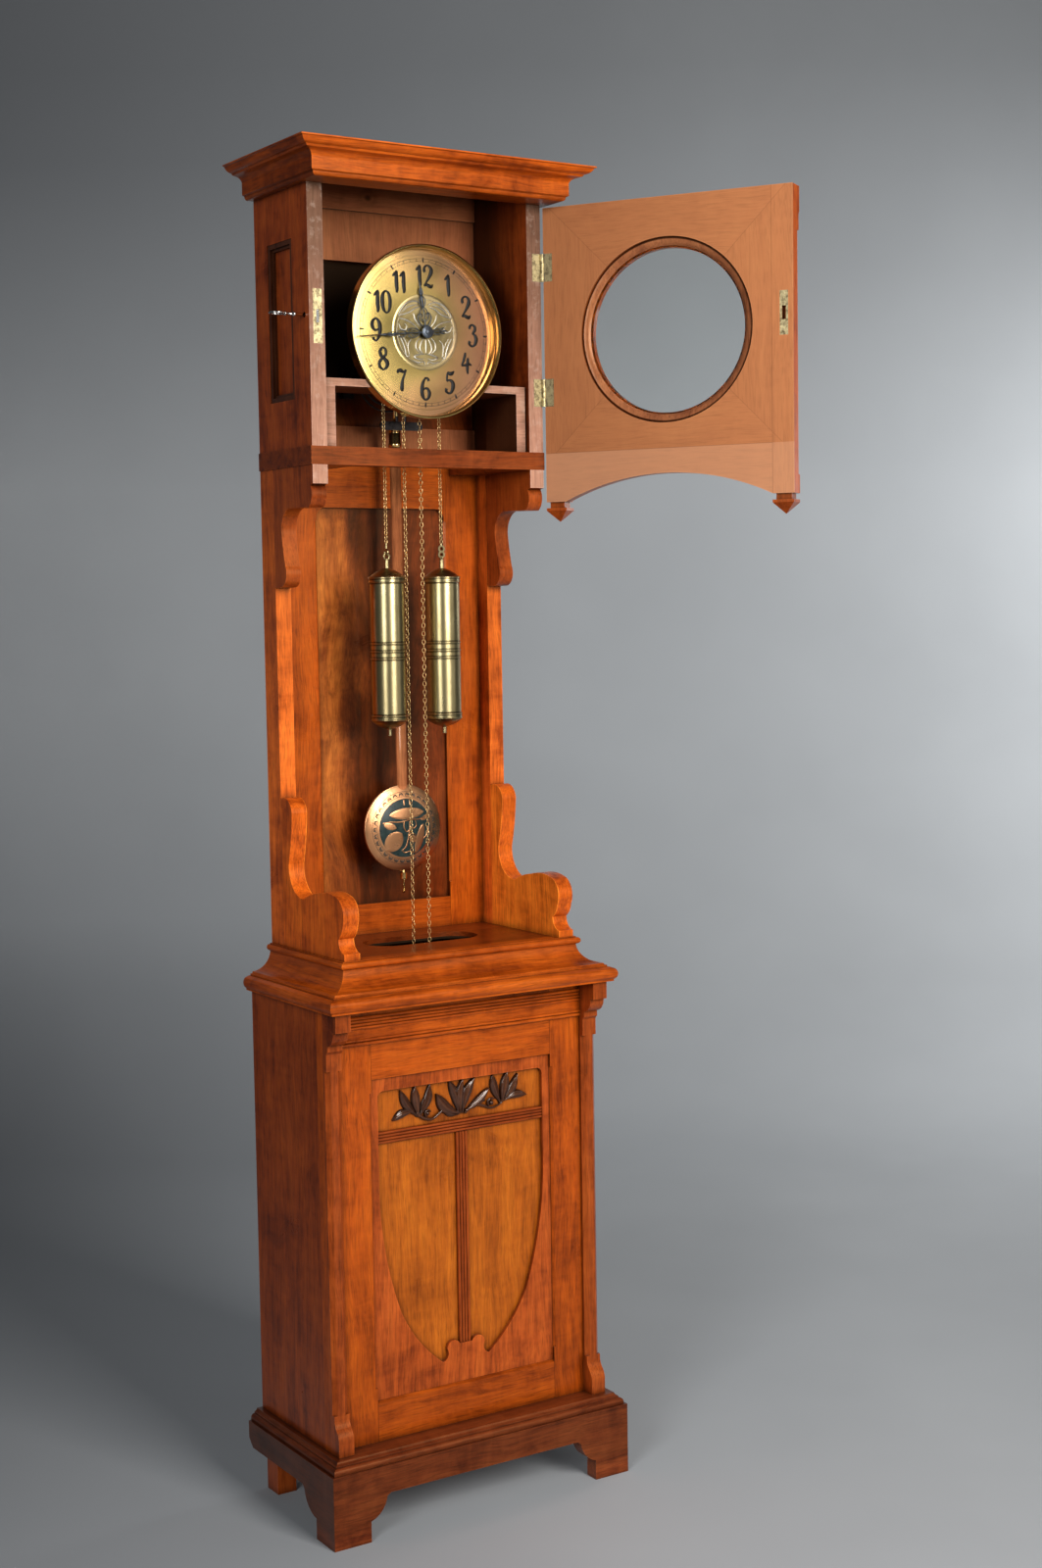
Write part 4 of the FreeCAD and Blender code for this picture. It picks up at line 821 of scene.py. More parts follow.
def ribbon(made, points, place, thick):
    """A flat stroke with a width at each point, given a thickness along the surface's normal.
    place(x, z, height) puts a point of the flat drawing on the surface."""
    verts = []
    n = len(points)
    for i, (x, z, w) in enumerate(points):
        a = points[max(i - 1, 0)]
        b = points[min(i + 1, n - 1)]
        dx, dz = b[0] - a[0], b[1] - a[1]
        length = math.hypot(dx, dz) or 1.0
        nx, nz = -dz / length, dx / length
        for s in (-0.5, 0.5):
            for h in (0.0, thick):
                verts.append(place(x + nx * w * s, z + nz * w * s, h))
    faces = [(0, 2, 3, 1), (4 * n - 4, 4 * n - 3, 4 * n - 1, 4 * n - 2)]
    for a in range(0, 4 * n - 4, 4):
        b = a + 4
        faces += [(a + 1, a + 3, b + 3, b + 1), (a, b, b + 2, a + 2)]
        faces += [(a, a + 1, b + 1, b), (a + 2, b + 2, b + 3, a + 3)]
    made.add(verts, faces)


def ring(made, radius, width, place, thick, count=120):
    """A thin line round a circle."""
    points = [(radius * s, radius * c, width) for s, c in circle(count)]
    ribbon(made, points + points[:1], place, thick)


def mirrored(made, points, place, thick, steps):
    for side in (-1, 1):
        ribbon(made, spline([(x * side, z, w) for x, z, w in points], steps), place, thick)


def facing(centre, x, z, depth):
    """A place on the front, in mm right of and above a centre and in front of the clock's back."""
    return Vector((centre.x + x / 1000, y_of(depth), centre.z + z / 1000))


# ---------------------------------------------------------------- dial
MEDALLION_EDGE = (62.0, 174.5)
DIAL_MIDDLE = (96.0, 173.2)
DIAL_EDGE = (134.4, 170.0)
NUMERAL_RADIUS = 90.5
NUMERAL_HEIGHT = 35.0
MEDALLION_DEPTH = 175.0


def dial_surface(r):
    """The dial face's depth in mm at a radius in mm: flat to the medallion's edge, then a shallow arc."""
    (r1, d1), (r2, d2), (r3, d3) = (MEDALLION_EDGE, DIAL_MIDDLE, DIAL_EDGE)
    if r <= r1:
        return d1
    det = 2 * ((r2 - r1) * (d3 - d1) - (r3 - r1) * (d2 - d1))
    s2 = (r2 - r1) * (r2 + r1) + (d2 - d1) * (d2 + d1)
    s3 = (r3 - r1) * (r3 + r1) + (d3 - d1) * (d3 + d1)
    arc_r = (s2 * (d3 - d1) - s3 * (d2 - d1)) / det
    arc_d = ((r2 - r1) * s3 - (r3 - r1) * s2) / det
    return arc_d + math.sqrt((r1 - arc_r) ** 2 + (d1 - arc_d) ** 2 - (min(r, r3) - arc_r) ** 2)


def on_dial(x, z, h):
    return facing(DIAL, x, z, dial_surface(math.hypot(x, z)) + 0.10 + h)


# Each stroke is a run of (right, up, width) in hundredths of the height.
DIGITS = {
    "0": [
        [(0, 100, 4), (-15, 86, 9), (-20.5, 50, 13.5), (-14, 13, 9), (0, 0, 4), (15, 14, 8),
         (20.5, 50, 11.5), (14, 87, 8), (0, 100, 4)],
    ],
    "1": [
        [(-17, 74, 3), (-10, 82, 7), (0, 93, 6), (5, 100, 5)],
        [(5, 100, 6), (3.5, 80, 11), (2, 45, 13), (3.5, 12, 10), (0, 0, 5)],
    ],
    "2": [
        [(-13, 70, 10), (-19, 78, 9), (-14, 93, 6), (2, 100, 5), (18, 88, 10), (19, 70, 13), (6, 45, 9),
         (-10, 22, 5), (-22, 6, 4)],
        [(-22, 5, 5), (-10, 11, 8), (4, 6, 11), (17, 3, 9), (26, 14, 3)],
    ],
    "3": [
        [(-15, 80, 9), (-13, 92, 7), (0, 100, 5), (15, 90, 9), (14, 74, 10), (0, 60, 4)],
        [(-2, 60, 4), (13, 54, 8), (22, 33, 13), (14, 9, 9), (-3, 0, 5), (-18, 10, 8), (-15, 24, 10)],
    ],
    "4": [
        [(-7, 98, 5), (-10, 80, 9), (-20, 52, 7), (-28, 40, 4)],
        [(-30, 38, 5), (-5, 40, 7), (15, 45, 7), (29, 40, 3)],
        [(9, 74, 6), (6, 50, 11), (5, 20, 10), (8, 0, 4)],
    ],
    "5": [
        [(-12, 97, 5), (2, 90, 11), (14, 93, 10), (25, 103, 3)],
        [(-11, 96, 5), (-15, 75, 6), (-15, 56, 5)],
        [(-15, 55, 4), (0, 61, 6), (16, 52, 11), (20, 32, 14), (12, 8, 9), (-3, 0, 5), (-19, 9, 8),
         (-17, 22, 10)],
    ],
    "6": [
        [(15, 86, 10), (10, 97, 6), (-2, 99, 5), (-15, 80, 9), (-21, 50, 13), (-18, 20, 12), (-3, 0, 5),
         (14, 9, 8), (20, 29, 12), (12, 48, 8), (-2, 53, 5), (-14, 44, 4)],
    ],
    "7": [
        [(-21, 80, 4), (-17, 93, 9), (-3, 93, 12), (10, 88, 7), (25, 98, 4)],
        [(25, 97, 4), (13, 70, 6), (4, 40, 10), (3, 12, 13), (6, 0, 5)],
    ],
    "8": [
        [(2, 53, 9), (-13, 66, 10), (-15, 86, 9), (0, 100, 5), (14, 87, 8), (13, 68, 8), (-2, 53, 8),
         (-18, 35, 9), (-19, 14, 9), (0, 0, 5), (19, 13, 10), (20, 34, 13), (2, 53, 9)],
    ],
    "9": [
        [(-15, 14, 10), (-10, 3, 6), (2, 1, 5), (15, 20, 9), (21, 50, 13), (18, 80, 12), (3, 100, 5),
         (-14, 91, 8), (-20, 71, 12), (-12, 52, 8), (2, 47, 5), (14, 56, 4)],
    ],
}


def numerals():
    unit = NUMERAL_HEIGHT / 100
    made = Build()
    for hour in range(1, 13):
        a = math.radians(30 * hour)
        cx, cz = NUMERAL_RADIUS * math.sin(a), NUMERAL_RADIUS * math.cos(a)
        offsets = {10: (-25, 22), 11: (-19, 19), 12: (-25, 22)}.get(hour, (0,))
        for digit, shift in zip(str(hour), offsets):
            for stroke in DIGITS[digit]:
                path = []
                for x, z, w in spline(stroke):
                    path.append((cx + (x + shift) * unit * 0.98, cz + (z - 50) * unit, w * unit * 1.36 + 0.9))
                ribbon(made, path, on_dial, 0.12)
    made.piece("dial_numerals", LOOKS["ink"], "case")


def minute_track():
    made = Build()
    for radius, width in ((118.5, 0.55), (113.8, 0.4)):
        ring(made, radius, width, on_dial, 0.08, 180)
    minute_mark = ((114, 0.7), (118.3, 0.7))
    hour_mark = ((111.2, 0.2), (116.2, 3.3), (121.2, 0.2))
    for k, (s, c) in enumerate(circle(60)):
        mark = minute_mark if k % 5 else hour_mark
        ribbon(made, [(r * s, r * c, w) for r, w in mark], on_dial, 0.1)
    made.piece("dial_minute_track", LOOKS["ink"], "case")


def medallion_ground():
    """A softly waved disc inside a rolled rim."""
    rows, cols = 26, 128
    inner, outer = 6.3, 61.4
    rim, rim_width = 55.5, 5
    made = Build()
    verts = []
    for i in range(rows + 1):
        r = inner + (outer - inner) * i / rows
        for k, (s, c) in enumerate(circle(cols)):
            h = 0.12 + 0.10 * math.sin(10 * math.pi * k / cols + r * 0.3) * math.sin(r * 0.21)
            if rim < r < rim + rim_width:
                h = 0.55 * math.sin(math.pi * (r - rim) / rim_width)
            if r > outer - 0.2 or r < inner + 0.2:
                h = 0.0
            verts.append(facing(DIAL, r * s, r * c, MEDALLION_DEPTH - 0.05 + h))
    made.add(verts, skin(rows, cols))
    made.piece("dial_medallion_ground", LOOKS["medallion_ground"], "case", "silvered", "dial_medallion")


def medallion_relief():
    """Mirrored wings above, a fan of leaves below and flowing scrolls between them."""
    def place(x, z, h):
        return facing(DIAL, x, z, MEDALLION_DEPTH + h)

    made = Build()
    strokes = [
        [(6, 44, 1.0), (18, 49, 2.0), (33, 46, 2.4), (44, 36, 2.0), (50, 26, 1.2)],
        [(50, 25, 1.0), (40, 27, 1.8), (29, 31, 2.2), (18, 38, 2.0), (8, 41, 1.0)],
        [(14, 44, 1.0), (24, 42, 1.8), (34, 38, 1.6), (42, 31, 1.0)],
        [(48, 20, 1.0), (40, 19, 2.0), (30, 16, 2.6), (20, 10, 2.0), (13, 3, 1.0)],
        [(50, 12, 1.0), (46, 4, 2.0), (38, 2, 2.2), (35, 8, 1.6), (39, 12, 1.0)],
        [(22, 30, 1.2), (19, 20, 2.4), (13, 12, 2.0), (8, 8, 1.0)],
        [(50, -6, 1.0), (44, -16, 2.2), (39, -28, 2.4), (36, -40, 1.6), (30, -38, 1.0)],
        [(31, -38, 1.0), (33, -28, 1.6), (32, -18, 2.0), (26, -12, 1.4)],
        [(44, -8, 1.0), (38, -16, 1.6), (35, -24, 1.2)],
        [(4, -10, 1.4), (9, -18, 2.6), (11, -27, 2.4), (6, -35, 1.2)],
        [(10, -9, 1.2), (17, -16, 2.2), (18, -26, 2.0), (10, -35, 1.0)],
        [(2, -35, 1.2), (12, -36, 2.0), (22, -40, 2.4), (12, -44, 2.2), (3, -42, 1.0)],
        [(24, -46, 1.0), (14, -49, 2.0), (5, -47, 1.6), (2, -52, 1.2)],
    ]
    for line in strokes:
        mirrored(made, line, place, 1.15, 5)
    ribbon(made, spline([(0, -11, 1.4), (0.4, -22, 2.4), (0, -34, 1.2)], 5), place, 1.25)
    ring(made, 53.4, 0.6, place, 0.8)
    made.piece("dial_medallion_relief", LOOKS["medallion"], "case", "silvered")


# ---------------------------------------------------------------- hands
def turn_place(minutes, depth):
    """Puts a hand's flat drawing at its angle, which is given in minutes of the dial."""
    a = math.radians(6 * minutes)

    def place(x, z, h):
        across = x * math.cos(a) + z * math.sin(a)
        up = -x * math.sin(a) + z * math.cos(a)
        return facing(DIAL, across, up, depth + h)

    return place


def disc(made, radius, depth0, depth1, hole=0.0):
    profile = [(hole, depth0), (radius, depth0), (radius, depth1 - 0.3), (radius - 0.4, depth1)]
    profile.append((hole, depth1))
    if hole:
        profile.append(profile[0])
    made.lathe([(r / 1000, -y_of(d)) for r, d in profile], (DIAL.x, 0, DIAL.z), (0, -1, 0), 48)


def minute_hand():
    place = turn_place(44, 182.1)
    made = Build()
    spine = [(0, -26, 1.1), (0, -12, 1.6), (0, 0, 4), (0, 14, 2.6), (0, 26, 1.8), (0, 40, 2.6), (0, 50, 1.8),
             (0, 60, 3.4), (0, 70, 2.8), (0, 80, 3.6), (0, 88, 1.8)]
    ribbon(made, spline(spine), place, 1.0)
    scrolls = [
        [(0, 13, 1.0), (4.8, 19, 1.7), (7.4, 28, 1.5), (5.4, 36, 1.4), (2.2, 34, 1.3)],
        [(2.2, 22, 0.9), (4.2, 27, 1.5), (2.0, 31, 0.9)],
        [(0, 39, 1.0), (4.2, 44, 1.7), (5.4, 51, 1.3), (2.4, 57, 1.0)],
        [(0, 59, 0.9), (3.2, 64, 1.6), (2.0, 72, 1.0), (0, 77, 0.9)],
        [(0, -9, 1.0), (3.8, -14, 1.7), (4.6, -21, 1.3), (1.4, -25, 1.2)],
    ]
    for scroll in scrolls:
        mirrored(made, scroll, place, 1.0, 7)
    for x, z in ((0, -33), (-3.8, -28), (3.8, -28)):
        petal = [(x * 0.3, -23, 1.0), (x, z, 3.0), (x * 1.15, z - 4.0, 0.8)]
        ribbon(made, spline(petal), place, 1.0)
    disc(made, 10.2, 181.5, 184.0)
    disc(made, 4.2, 184.0, 185.8)
    disc(made, 2.0, 96.5, 186.6)
    made.piece("minute_hand_ornate", LOOKS["steel_blue"], "minute", "blued_steel", "minute_hand")
    made = Build()
    ribbon(made, spline([(0, 86, 2.0), (0, 97, 1.8), (0, 115, 1.6), (0, 131.5, 0.9)]), place, 0.9)
    made.piece("minute_hand_tip", LOOKS["copper_needle"], "minute", "blued_steel")


def hour_hand():
    place = turn_place(11 * 5 + 22 / 6, 178.5)
    made = Build()
    spine = [(0, 0, 5), (0, 12, 2.6), (0, 22, 1.6), (0, 33, 1.6), (0, 44, 2.4), (0, 54, 3.6), (0, 62, 3.0),
             (0, 70, 2.4), (0, 80, 0.6)]
    ribbon(made, spline(spine), place, 1.0)
    scrolls = [
        [(0, 9, 1.4), (8.0, 13, 2.1), (12.4, 22, 1.9), (9.4, 30, 1.7), (4.6, 29, 1.5), (4.2, 24, 1.2)],
        [(1, 17, 1.1), (6.0, 21, 1.6), (7.6, 29, 1.4), (4.6, 37, 1.3), (0, 41, 1.3)],
        [(0, 40, 1.0), (4.6, 45, 1.8), (4.8, 53, 1.5), (0, 60, 1.2)],
        [(0, 58, 1.0), (3.0, 63, 1.6), (2.0, 69, 1.2), (0, 73, 1.0)],
    ]
    for scroll in scrolls:
        mirrored(made, scroll, place, 1.0, 7)
    disc(made, 9.0, 177.9, 180.2, hole=2.05)
    disc(made, 4.0, 149.2, 178.0, hole=2.05)
    made.piece("hour_hand_ornate", LOOKS["steel_blue"], "hour", "blued_steel", "hour_hand")


# ---------------------------------------------------------------- chains
LINKS_IN_LENGTH = 18
LENGTH = 0.125
LINK_PITCH = LENGTH / LINKS_IN_LENGTH
LINK_WIRE = 0.00058
WEIGHTED_COPIES = 5
LINKS_OVER_WHEEL = 8


def link(made, at, across, direction=Vector((0, 0, 1)), wire=LINK_WIRE):
    """One oval link centred at a point, lying in the plane of two directions."""
    half = LINK_PITCH / 2 + LINK_WIRE
    points = [at + across * (0.0027 * c) + direction * (half * s) for s, c in circle(16)]
    made.tube(points, wire, 6, closed=True)


def strand(name, x, y, z0, count, wire, twist):
    """A run of links, baked in place and riding on no body."""
    made = Build()
    for i in range(count):
        a = math.radians(twist + 90 * (i % 2))
        across = Vector((math.cos(a), math.sin(a), 0))
        link(made, Vector((x, y, z0 + LINK_PITCH * (i + 0.5))), across, wire=wire)
    piece = made.piece(name, LOOKS["brass_chain"], None, "brass")
    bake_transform(piece)
    return piece


def weighted_strand(side_name, twist):
    """Copies of the whole strand in one place, each with a slightly thinner wire."""
    low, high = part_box("weight_chain_" + side_name)
    centre = (low + high) / 2
    count = round((high.z - low.z) / LINK_PITCH)
    for k in range(WEIGHTED_COPIES):
        name = "weight_links_%s_%d" % (side_name, k)
        strand(name, centre.x, centre.y, low.z, count,
                             LINK_WIRE * (1 - 0.02 * k), twist)
    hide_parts("weight_chain_" + side_name)
    return centre


def free_strand(side_name, y, twist):
    """Lengths of links, one below another under the wheel, each with a slightly thinner wire."""
    low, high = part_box("free_chain_" + side_name)
    for k in range(round((high.z - low.z) / LENGTH)):
        name = "free_links_%s_%d" % (side_name, k)
        strand(name, (low.x + high.x) / 2, y, high.z - (k + 1) * LENGTH, LINKS_IN_LENGTH,
                             LINK_WIRE * (1 - 0.015 * k),
                             twist)
    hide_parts("free_chain_" + side_name)


def chain():
    """Both strands of each chain, and its links over the wheel."""
    back = Vector((0, 1, 0))
    for side_name, twists in (("left", (12, -62)), ("right", (-70, -33))):
        strand_at = weighted_strand(side_name, twists[0])
        free_strand(side_name, strand_at.y, twists[1])
        wheel = Vector(JOINTS["chain_wheel_%s_turn" % side_name]["pos_m"])
        radius = abs(strand_at.x - wheel.x)
        made = Build()
        for i in range(LINKS_OVER_WHEEL):
            a = math.pi * (i + 0.5) / LINKS_OVER_WHEEL
            at = Vector((wheel.x + radius * math.cos(a), strand_at.y, wheel.z + radius * math.sin(a)))
            along = Vector((-math.sin(a), 0, math.cos(a)))
            link(made, at, back if i % 2 else along.cross(back), along)
        made.piece("wheel_links_" + side_name, LOOKS["brass_chain"], "wheel_" + side_name, "brass")


# ---------------------------------------------------------------- pendulum
BOB_MIDDLE = 67.0
BOB_RIM = 72.6


def bob_surface(r):
    """The depth in mm of the bob's front face at a radius in mm."""
    if r > 72.0:
        return BOB_MIDDLE + 2.0
    return BOB_MIDDLE + 2.0 + 11.6 * (1 - (r / 72.5) ** 2) ** 0.86


def on_bob(x, z, h):
    return facing(BOB, x, z, bob_surface(math.hypot(x, z)) + h)


def bob_lens():
    """The bob's copper body, the same at the front and the back, with a rounded edge."""
    rows = []
    for k in range(40):
        r = BOB_RIM * k / 39
        rows.append((r, bob_surface(r)))
    rows += [(73.8, BOB_MIDDLE + 1.6), (74, BOB_MIDDLE), (73.8, BOB_MIDDLE - 1.6)]
    for k in range(20):
        r = BOB_RIM * (19 - k) / 19
        rows.append((r, 2 * BOB_MIDDLE - bob_surface(r)))
    made = Build()
    made.lathe([(r / 1000, -y_of(d)) for r, d in rows], (BOB.x, 0, BOB.z), (0, -1, 0), 96)
    made.piece("bob_lens", LOOKS["copper"], "bob", "copper_bob", "pendulum_bob")


def petal_border(made):
    """A ring of thirty small petals between two lines."""
    for k in range(30):
        a = 2 * math.pi * k / 30
        for side in (-1, 1):
            path = []
            for t in (0, 0.25, 0.5, 0.75, 1.0):
                at = a + (0.035 + 0.05 * t) * side
                r = 54.6 + 5.6 * t
                path.append((r * math.sin(at), r * math.cos(at), 0.5 + 1.5 * math.sin(math.pi * t)))
            ribbon(made, spline(path, 3), on_bob, 0.14)
        between = a + 0.105
        widths = ((55.4, 0.6), (57.6, 1.9), (59.8, 0.6))
        path = [(r * math.sin(between), r * math.cos(between), w) for r, w in widths]
        ribbon(made, spline(path, 3), on_bob, 0.14)
    ring(made, 53.6, 0.5, on_bob, 0.14)
    ring(made, 61.6, 0.6, on_bob, 0.14)


def bob_ground():
    """The etched dark middle of the bob and its border."""
    rows, cols = 14, 96
    made = Build()
    verts = []
    for i in range(rows + 1):
        r = 49.6 * i / rows + 0.01
        verts += [on_bob(r * s, r * c, 0.12) for s, c in circle(cols)]
    made.add(verts, skin(rows, cols))
    petal_border(made)
    made.piece("bob_etched_ground", LOOKS["bob_dark"], "bob")


def leaf(made, x0, z0, x1, z1, width):
    """A flat leaf between two points of the bob's face."""
    length = math.hypot(x1 - x0, z1 - z0)
    nx, nz = -(z1 - z0) / length, (x1 - x0) / length
    steps, across = 14, 8
    points = []
    for i in range(steps + 1):
        t = i / steps
        w = 0.5 + width * math.sin(math.pi * t) ** 0.6
        for k in range(across + 1):
            u = (k / across - 0.5) * w
            lift = 0.42 if 0 < k < across else 0.12
            points.append(on_bob(x0 + (x1 - x0) * t + nx * u, z0 + (z1 - z0) * t + nz * u, lift))
    made.add(points, skin(steps, across + 1, wrap=False))


def bob_ornament():
    """Generic leaves and stems in copper on the dark ground."""
    def place(x, z, h):
        return on_bob(x, z, h + 0.2)

    made = Build()
    for ends in ((-31, 23, 36, 26, 19), (-42, 8, -19, 1, 11), (-38, -36, -9, -8, 31), (34, 5, 19, -44, 15),
                 (30, 12, 47, 20, 7), (6, -16, 19, -22, 12)):
        leaf(made, *ends)
    lines = [
        [(-44, 10, 2), (-30, 12, 2.2), (-12, 11, 2.4), (8, 14, 2.4), (26, 14, 2.2), (40, 19, 2),
         (47, 24, 1.4)],
        [(7, 12, 2.2), (6, 0, 2), (4, -14, 2.2), (0, -30, 2.4), (-8, -38, 1.6)],
        [(-4, 12, 1.6), (-5, 2, 2), (0, -6, 1.8), (6, -2, 1.4)],
        [(18, 12, 1.6), (19, 3, 2), (13, -1, 1.8), (8, 3, 1.4)],
        [(4, -14, 1.6), (10, -10, 2), (17, -12, 1.6), (19, -18, 1.4)],
        [(45, 12, 1.4), (46, 0, 2), (42, -12, 2.2), (34, -20, 1.6)],
        [(-8, -38, 1.4), (-2, -42, 2), (8, -40, 2.2), (20, -44, 1.6)],
        [(-2, 38, 2.2), (-2, 48, 2.2)],
        [(9, 38, 2.2), (9, 48, 2.2)],
    ]
    for line in lines:
        ribbon(made, spline(line), place, 0.25)
    made.piece("bob_ornament", LOOKS["copper"], "bob")


ROD_END_Z = BOB.z - 0.055
ROD_TOP_Z = 1.7505


def wood_rod():
    """The rod's flattened oval stick, with a small chamfer at its lower end."""
    cols = 28
    outline = []
    for s, c in circle(cols):
        outline.append((math.copysign(abs(c) ** 0.8, c) * 0.0098, math.copysign(abs(s) ** 0.8, s) * 0.0049))
    verts = []
    for z, scale in ((ROD_END_Z, 0.94), (ROD_END_Z + 0.0008, 1.0), (ROD_TOP_Z, 1.0)):
        verts += [Vector((PENDULUM.x + px * scale, PENDULUM.y + py * scale, z)) for px, py in outline]
    made = Build()
    made.add(verts, [tuple(range(cols)), tuple(range(2 * cols, 3 * cols))] + skin(2, cols))
    look = wood("wood_pendulum_rod", shades(0.36, 0.115, 0.040, 0.3), "Z", 21.0, 0.3, 0.3)
    made.piece("pendulum_wood_rod", look, "pendulum", "pale_wood", "pendulum_rod")


def rod_metalwork():
    """The brass ferrule and hook above the stick, and the rating screw below it."""
    x, y = PENDULUM.x, PENDULUM.y
    screw_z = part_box("pendulum_rod")[0].z
    ferrule = [(0.0001, 1.7945), (0.0046, 1.794), (0.0052, 1.7915), (0.0084, 1.788), (0.0100, 1.7835),
               (0.0100, 1.7755), (0.0092, 1.7745), (0.0100, 1.7735), (0.0100, 1.7575), (0.0109, 1.7565),
               (0.0109, 1.7503), (0.0001, 1.7503)]
    made = Build()
    made.lathe(ferrule, (x, y, 0), (0, 0, 1), 48)
    made.tube([(x, y, 1.7935), (x, y, PENDULUM.z - 0.034)], 0.0016, 12)
    made.tube([(x, y, screw_z), (x, y, ROD_END_Z + 0.001)], 0.00235, 14)
    thread = []
    for k, (s, c) in enumerate(circle(360, turns=30)):
        thread.append((x + 0.00232 * c, y + 0.00232 * s, screw_z + 0.001 + 0.046 * k / 359))
    made.tube(thread, 0.00022, 4)
    made.piece("pendulum_ferrule_and_screw", LOOKS["brass"], "pendulum", "brass")


def suspension_spring():
    """The thin spring and the block below it."""
    corners = ((-1, -1), (1, -1), (1, 1), (-1, 1))
    made = Build()
    for half_x, half_y, low, high in ((0.003, 0.0004, -0.030, 0.001), (0.006, 0.0025, -0.036, -0.024)):
        verts = []
        for dz, scale in ((low, 0.9), (low + 0.0006, 1.0), (high - 0.0006, 1.0), (high, 0.9)):
            verts += [PENDULUM + Vector((a * half_x * scale, b * half_y, dz)) for a, b in corners]
        made.add(verts, [(0, 1, 2, 3), (12, 13, 14, 15)] + skin(3, 4))
    made.piece("pendulum_spring", LOOKS["nickel"], "pendulum", "nickel", smooth=False)


# ---------------------------------------------------------------- carving and key
def blade(made, start, end, width, height, bend):
    """A carved petal between two points of the panel, in mm: narrow at the root, with a ridged middle."""
    rows, cols = 20, 11
    deepest = CARVING_GROUND + 9.5
    (sx, sz), (ex, ez) = start, end
    dx, dz = ex - sx, ez - sz
    length = math.hypot(dx, dz)
    nx, nz = -dz / length, dx / length
    verts = []
    for i in range(rows + 1):
        t = i / rows
        w = width * max(math.sin(math.pi * min(1.0, t ** 1.25 * 0.98 + 0.02)) ** 0.8, 0.34 * (1 - t))
        if i == rows:
            w = 0.3
        lift = height * (0.40 + 0.60 * math.sin(math.pi * (0.10 + 0.72 * t)))
        off = bend * math.sin(math.pi * t)
        cx = sx + dx * t + nx * off
        cz = sz + dz * t + nz * off
        for j in range(cols):
            s = -1 + 2 * j / (cols - 1)
            crown = (1 - s * s) ** 0.5
            hollow = 0.30 * math.exp(-((abs(s) - 0.42) / 0.2) ** 2) * math.sin(math.pi * t)
            h = lift * max(0.0, crown - hollow) * (1 + 0.2 * s * t)
            depth = min(CARVING_GROUND + max(0.02, h), deepest)
            verts.append(Vector(((cx + nx * w * s / 2) / 1000, y_of(depth), (cz + nz * w * s / 2) / 1000)))
    made.add(verts, skin(rows, cols, wrap=False))


def stem(made, points, width):
    path = [Vector((x / 1000, y_of(CARVING_GROUND + h), z / 1000)) for x, z, h in spline(points)]
    n = len(path)
    made.tube(path, [width / 1000 * (0.75 + 0.25 * math.cos(3 * i / n)) for i in range(n)], 10)


def bud(made, x, z, radius):
    """A small half-round bud on the panel."""
    ground = -y_of(CARVING_GROUND)
    r = radius / 1000
    profile = [(r * math.cos(a), ground + r * math.sin(a) * 1.2) for a in (0, 0.3, 0.6, 0.9, 1.2, 1.45)]
    profile.append((0.0001, ground + r * 1.2))
    made.lathe(profile, (x / 1000, 0, z / 1000), (0, -1, 0), 20)


def carving():
    """Three leafy blossoms on a running stem, carved in relief above the reeded band."""
    made = Build()
    leaves = [
        ((-82, 658), (-114, 705), 17, 6.0, 4), ((-78, 658), (-58, 709), 17, 6.5, -6),
        ((-80, 657), (-87, 709), 18, 8.5, 1), ((-90, 667), (-129, 657), 15, 6.5, -4),
        ((-76, 660), (-66, 690), 9, 4.5, 0), ((-4, 652), (-22, 709), 18, 6.0, -4),
        ((3, 652), (27, 708), 19, 7.0, 4), ((-1, 652), (4, 710), 15, 8.8, 3),
        ((-3, 652), (-47, 690), 22, 7.5, 7), ((9, 655), (55, 687), 16, 8.0, -4),
        ((-4, 650), (-34, 661), 10, 4.5, 3), ((2, 652), (16, 700), 9, 5.0, 0),
        ((77, 659), (62, 709), 17, 6.5, 3), ((82, 661), (111, 704), 16, 7.5, -5),
        ((79, 660), (90, 710), 18, 8.8, -1), ((85, 662), (129, 666), 15, 7.5, 5),
        ((84, 662), (101, 690), 9, 4.5, 0),
    ]
    for facts in leaves:
        blade(made, *facts)
    stem(made, [(-84, 664, 2.4), (-72, 654, 3.2), (-56, 650, 3.6), (-42, 657, 3.6), (-30, 664, 3.0),
                (-14, 660, 2.2)], 2.7)
    stem(made, [(8, 651, 2.2), (16, 658, 3.4), (28, 663, 3.8), (42, 659, 3.6), (58, 653, 3.4), (74, 656, 3.0),
                (84, 663, 2.4)], 2.7)
    stem(made, [(-66, 655, 3.0), (-68, 662, 3.4), (-62, 666, 3.4), (-57, 662, 3.0)], 1.8)
    stem(made, [(54, 657, 3.0), (52, 664, 3.4), (58, 669, 3.6), (66, 667, 3.2)], 1.9)
    for facts in ((-62.5, 660, 4.2), (60, 661, 4.4), (-36, 668, 2.6), (46, 667, 2.6)):
        bud(made, *facts)
    made.piece("flower_carving", LOOKS["carving"], "case", "carving", "carved_flowers")


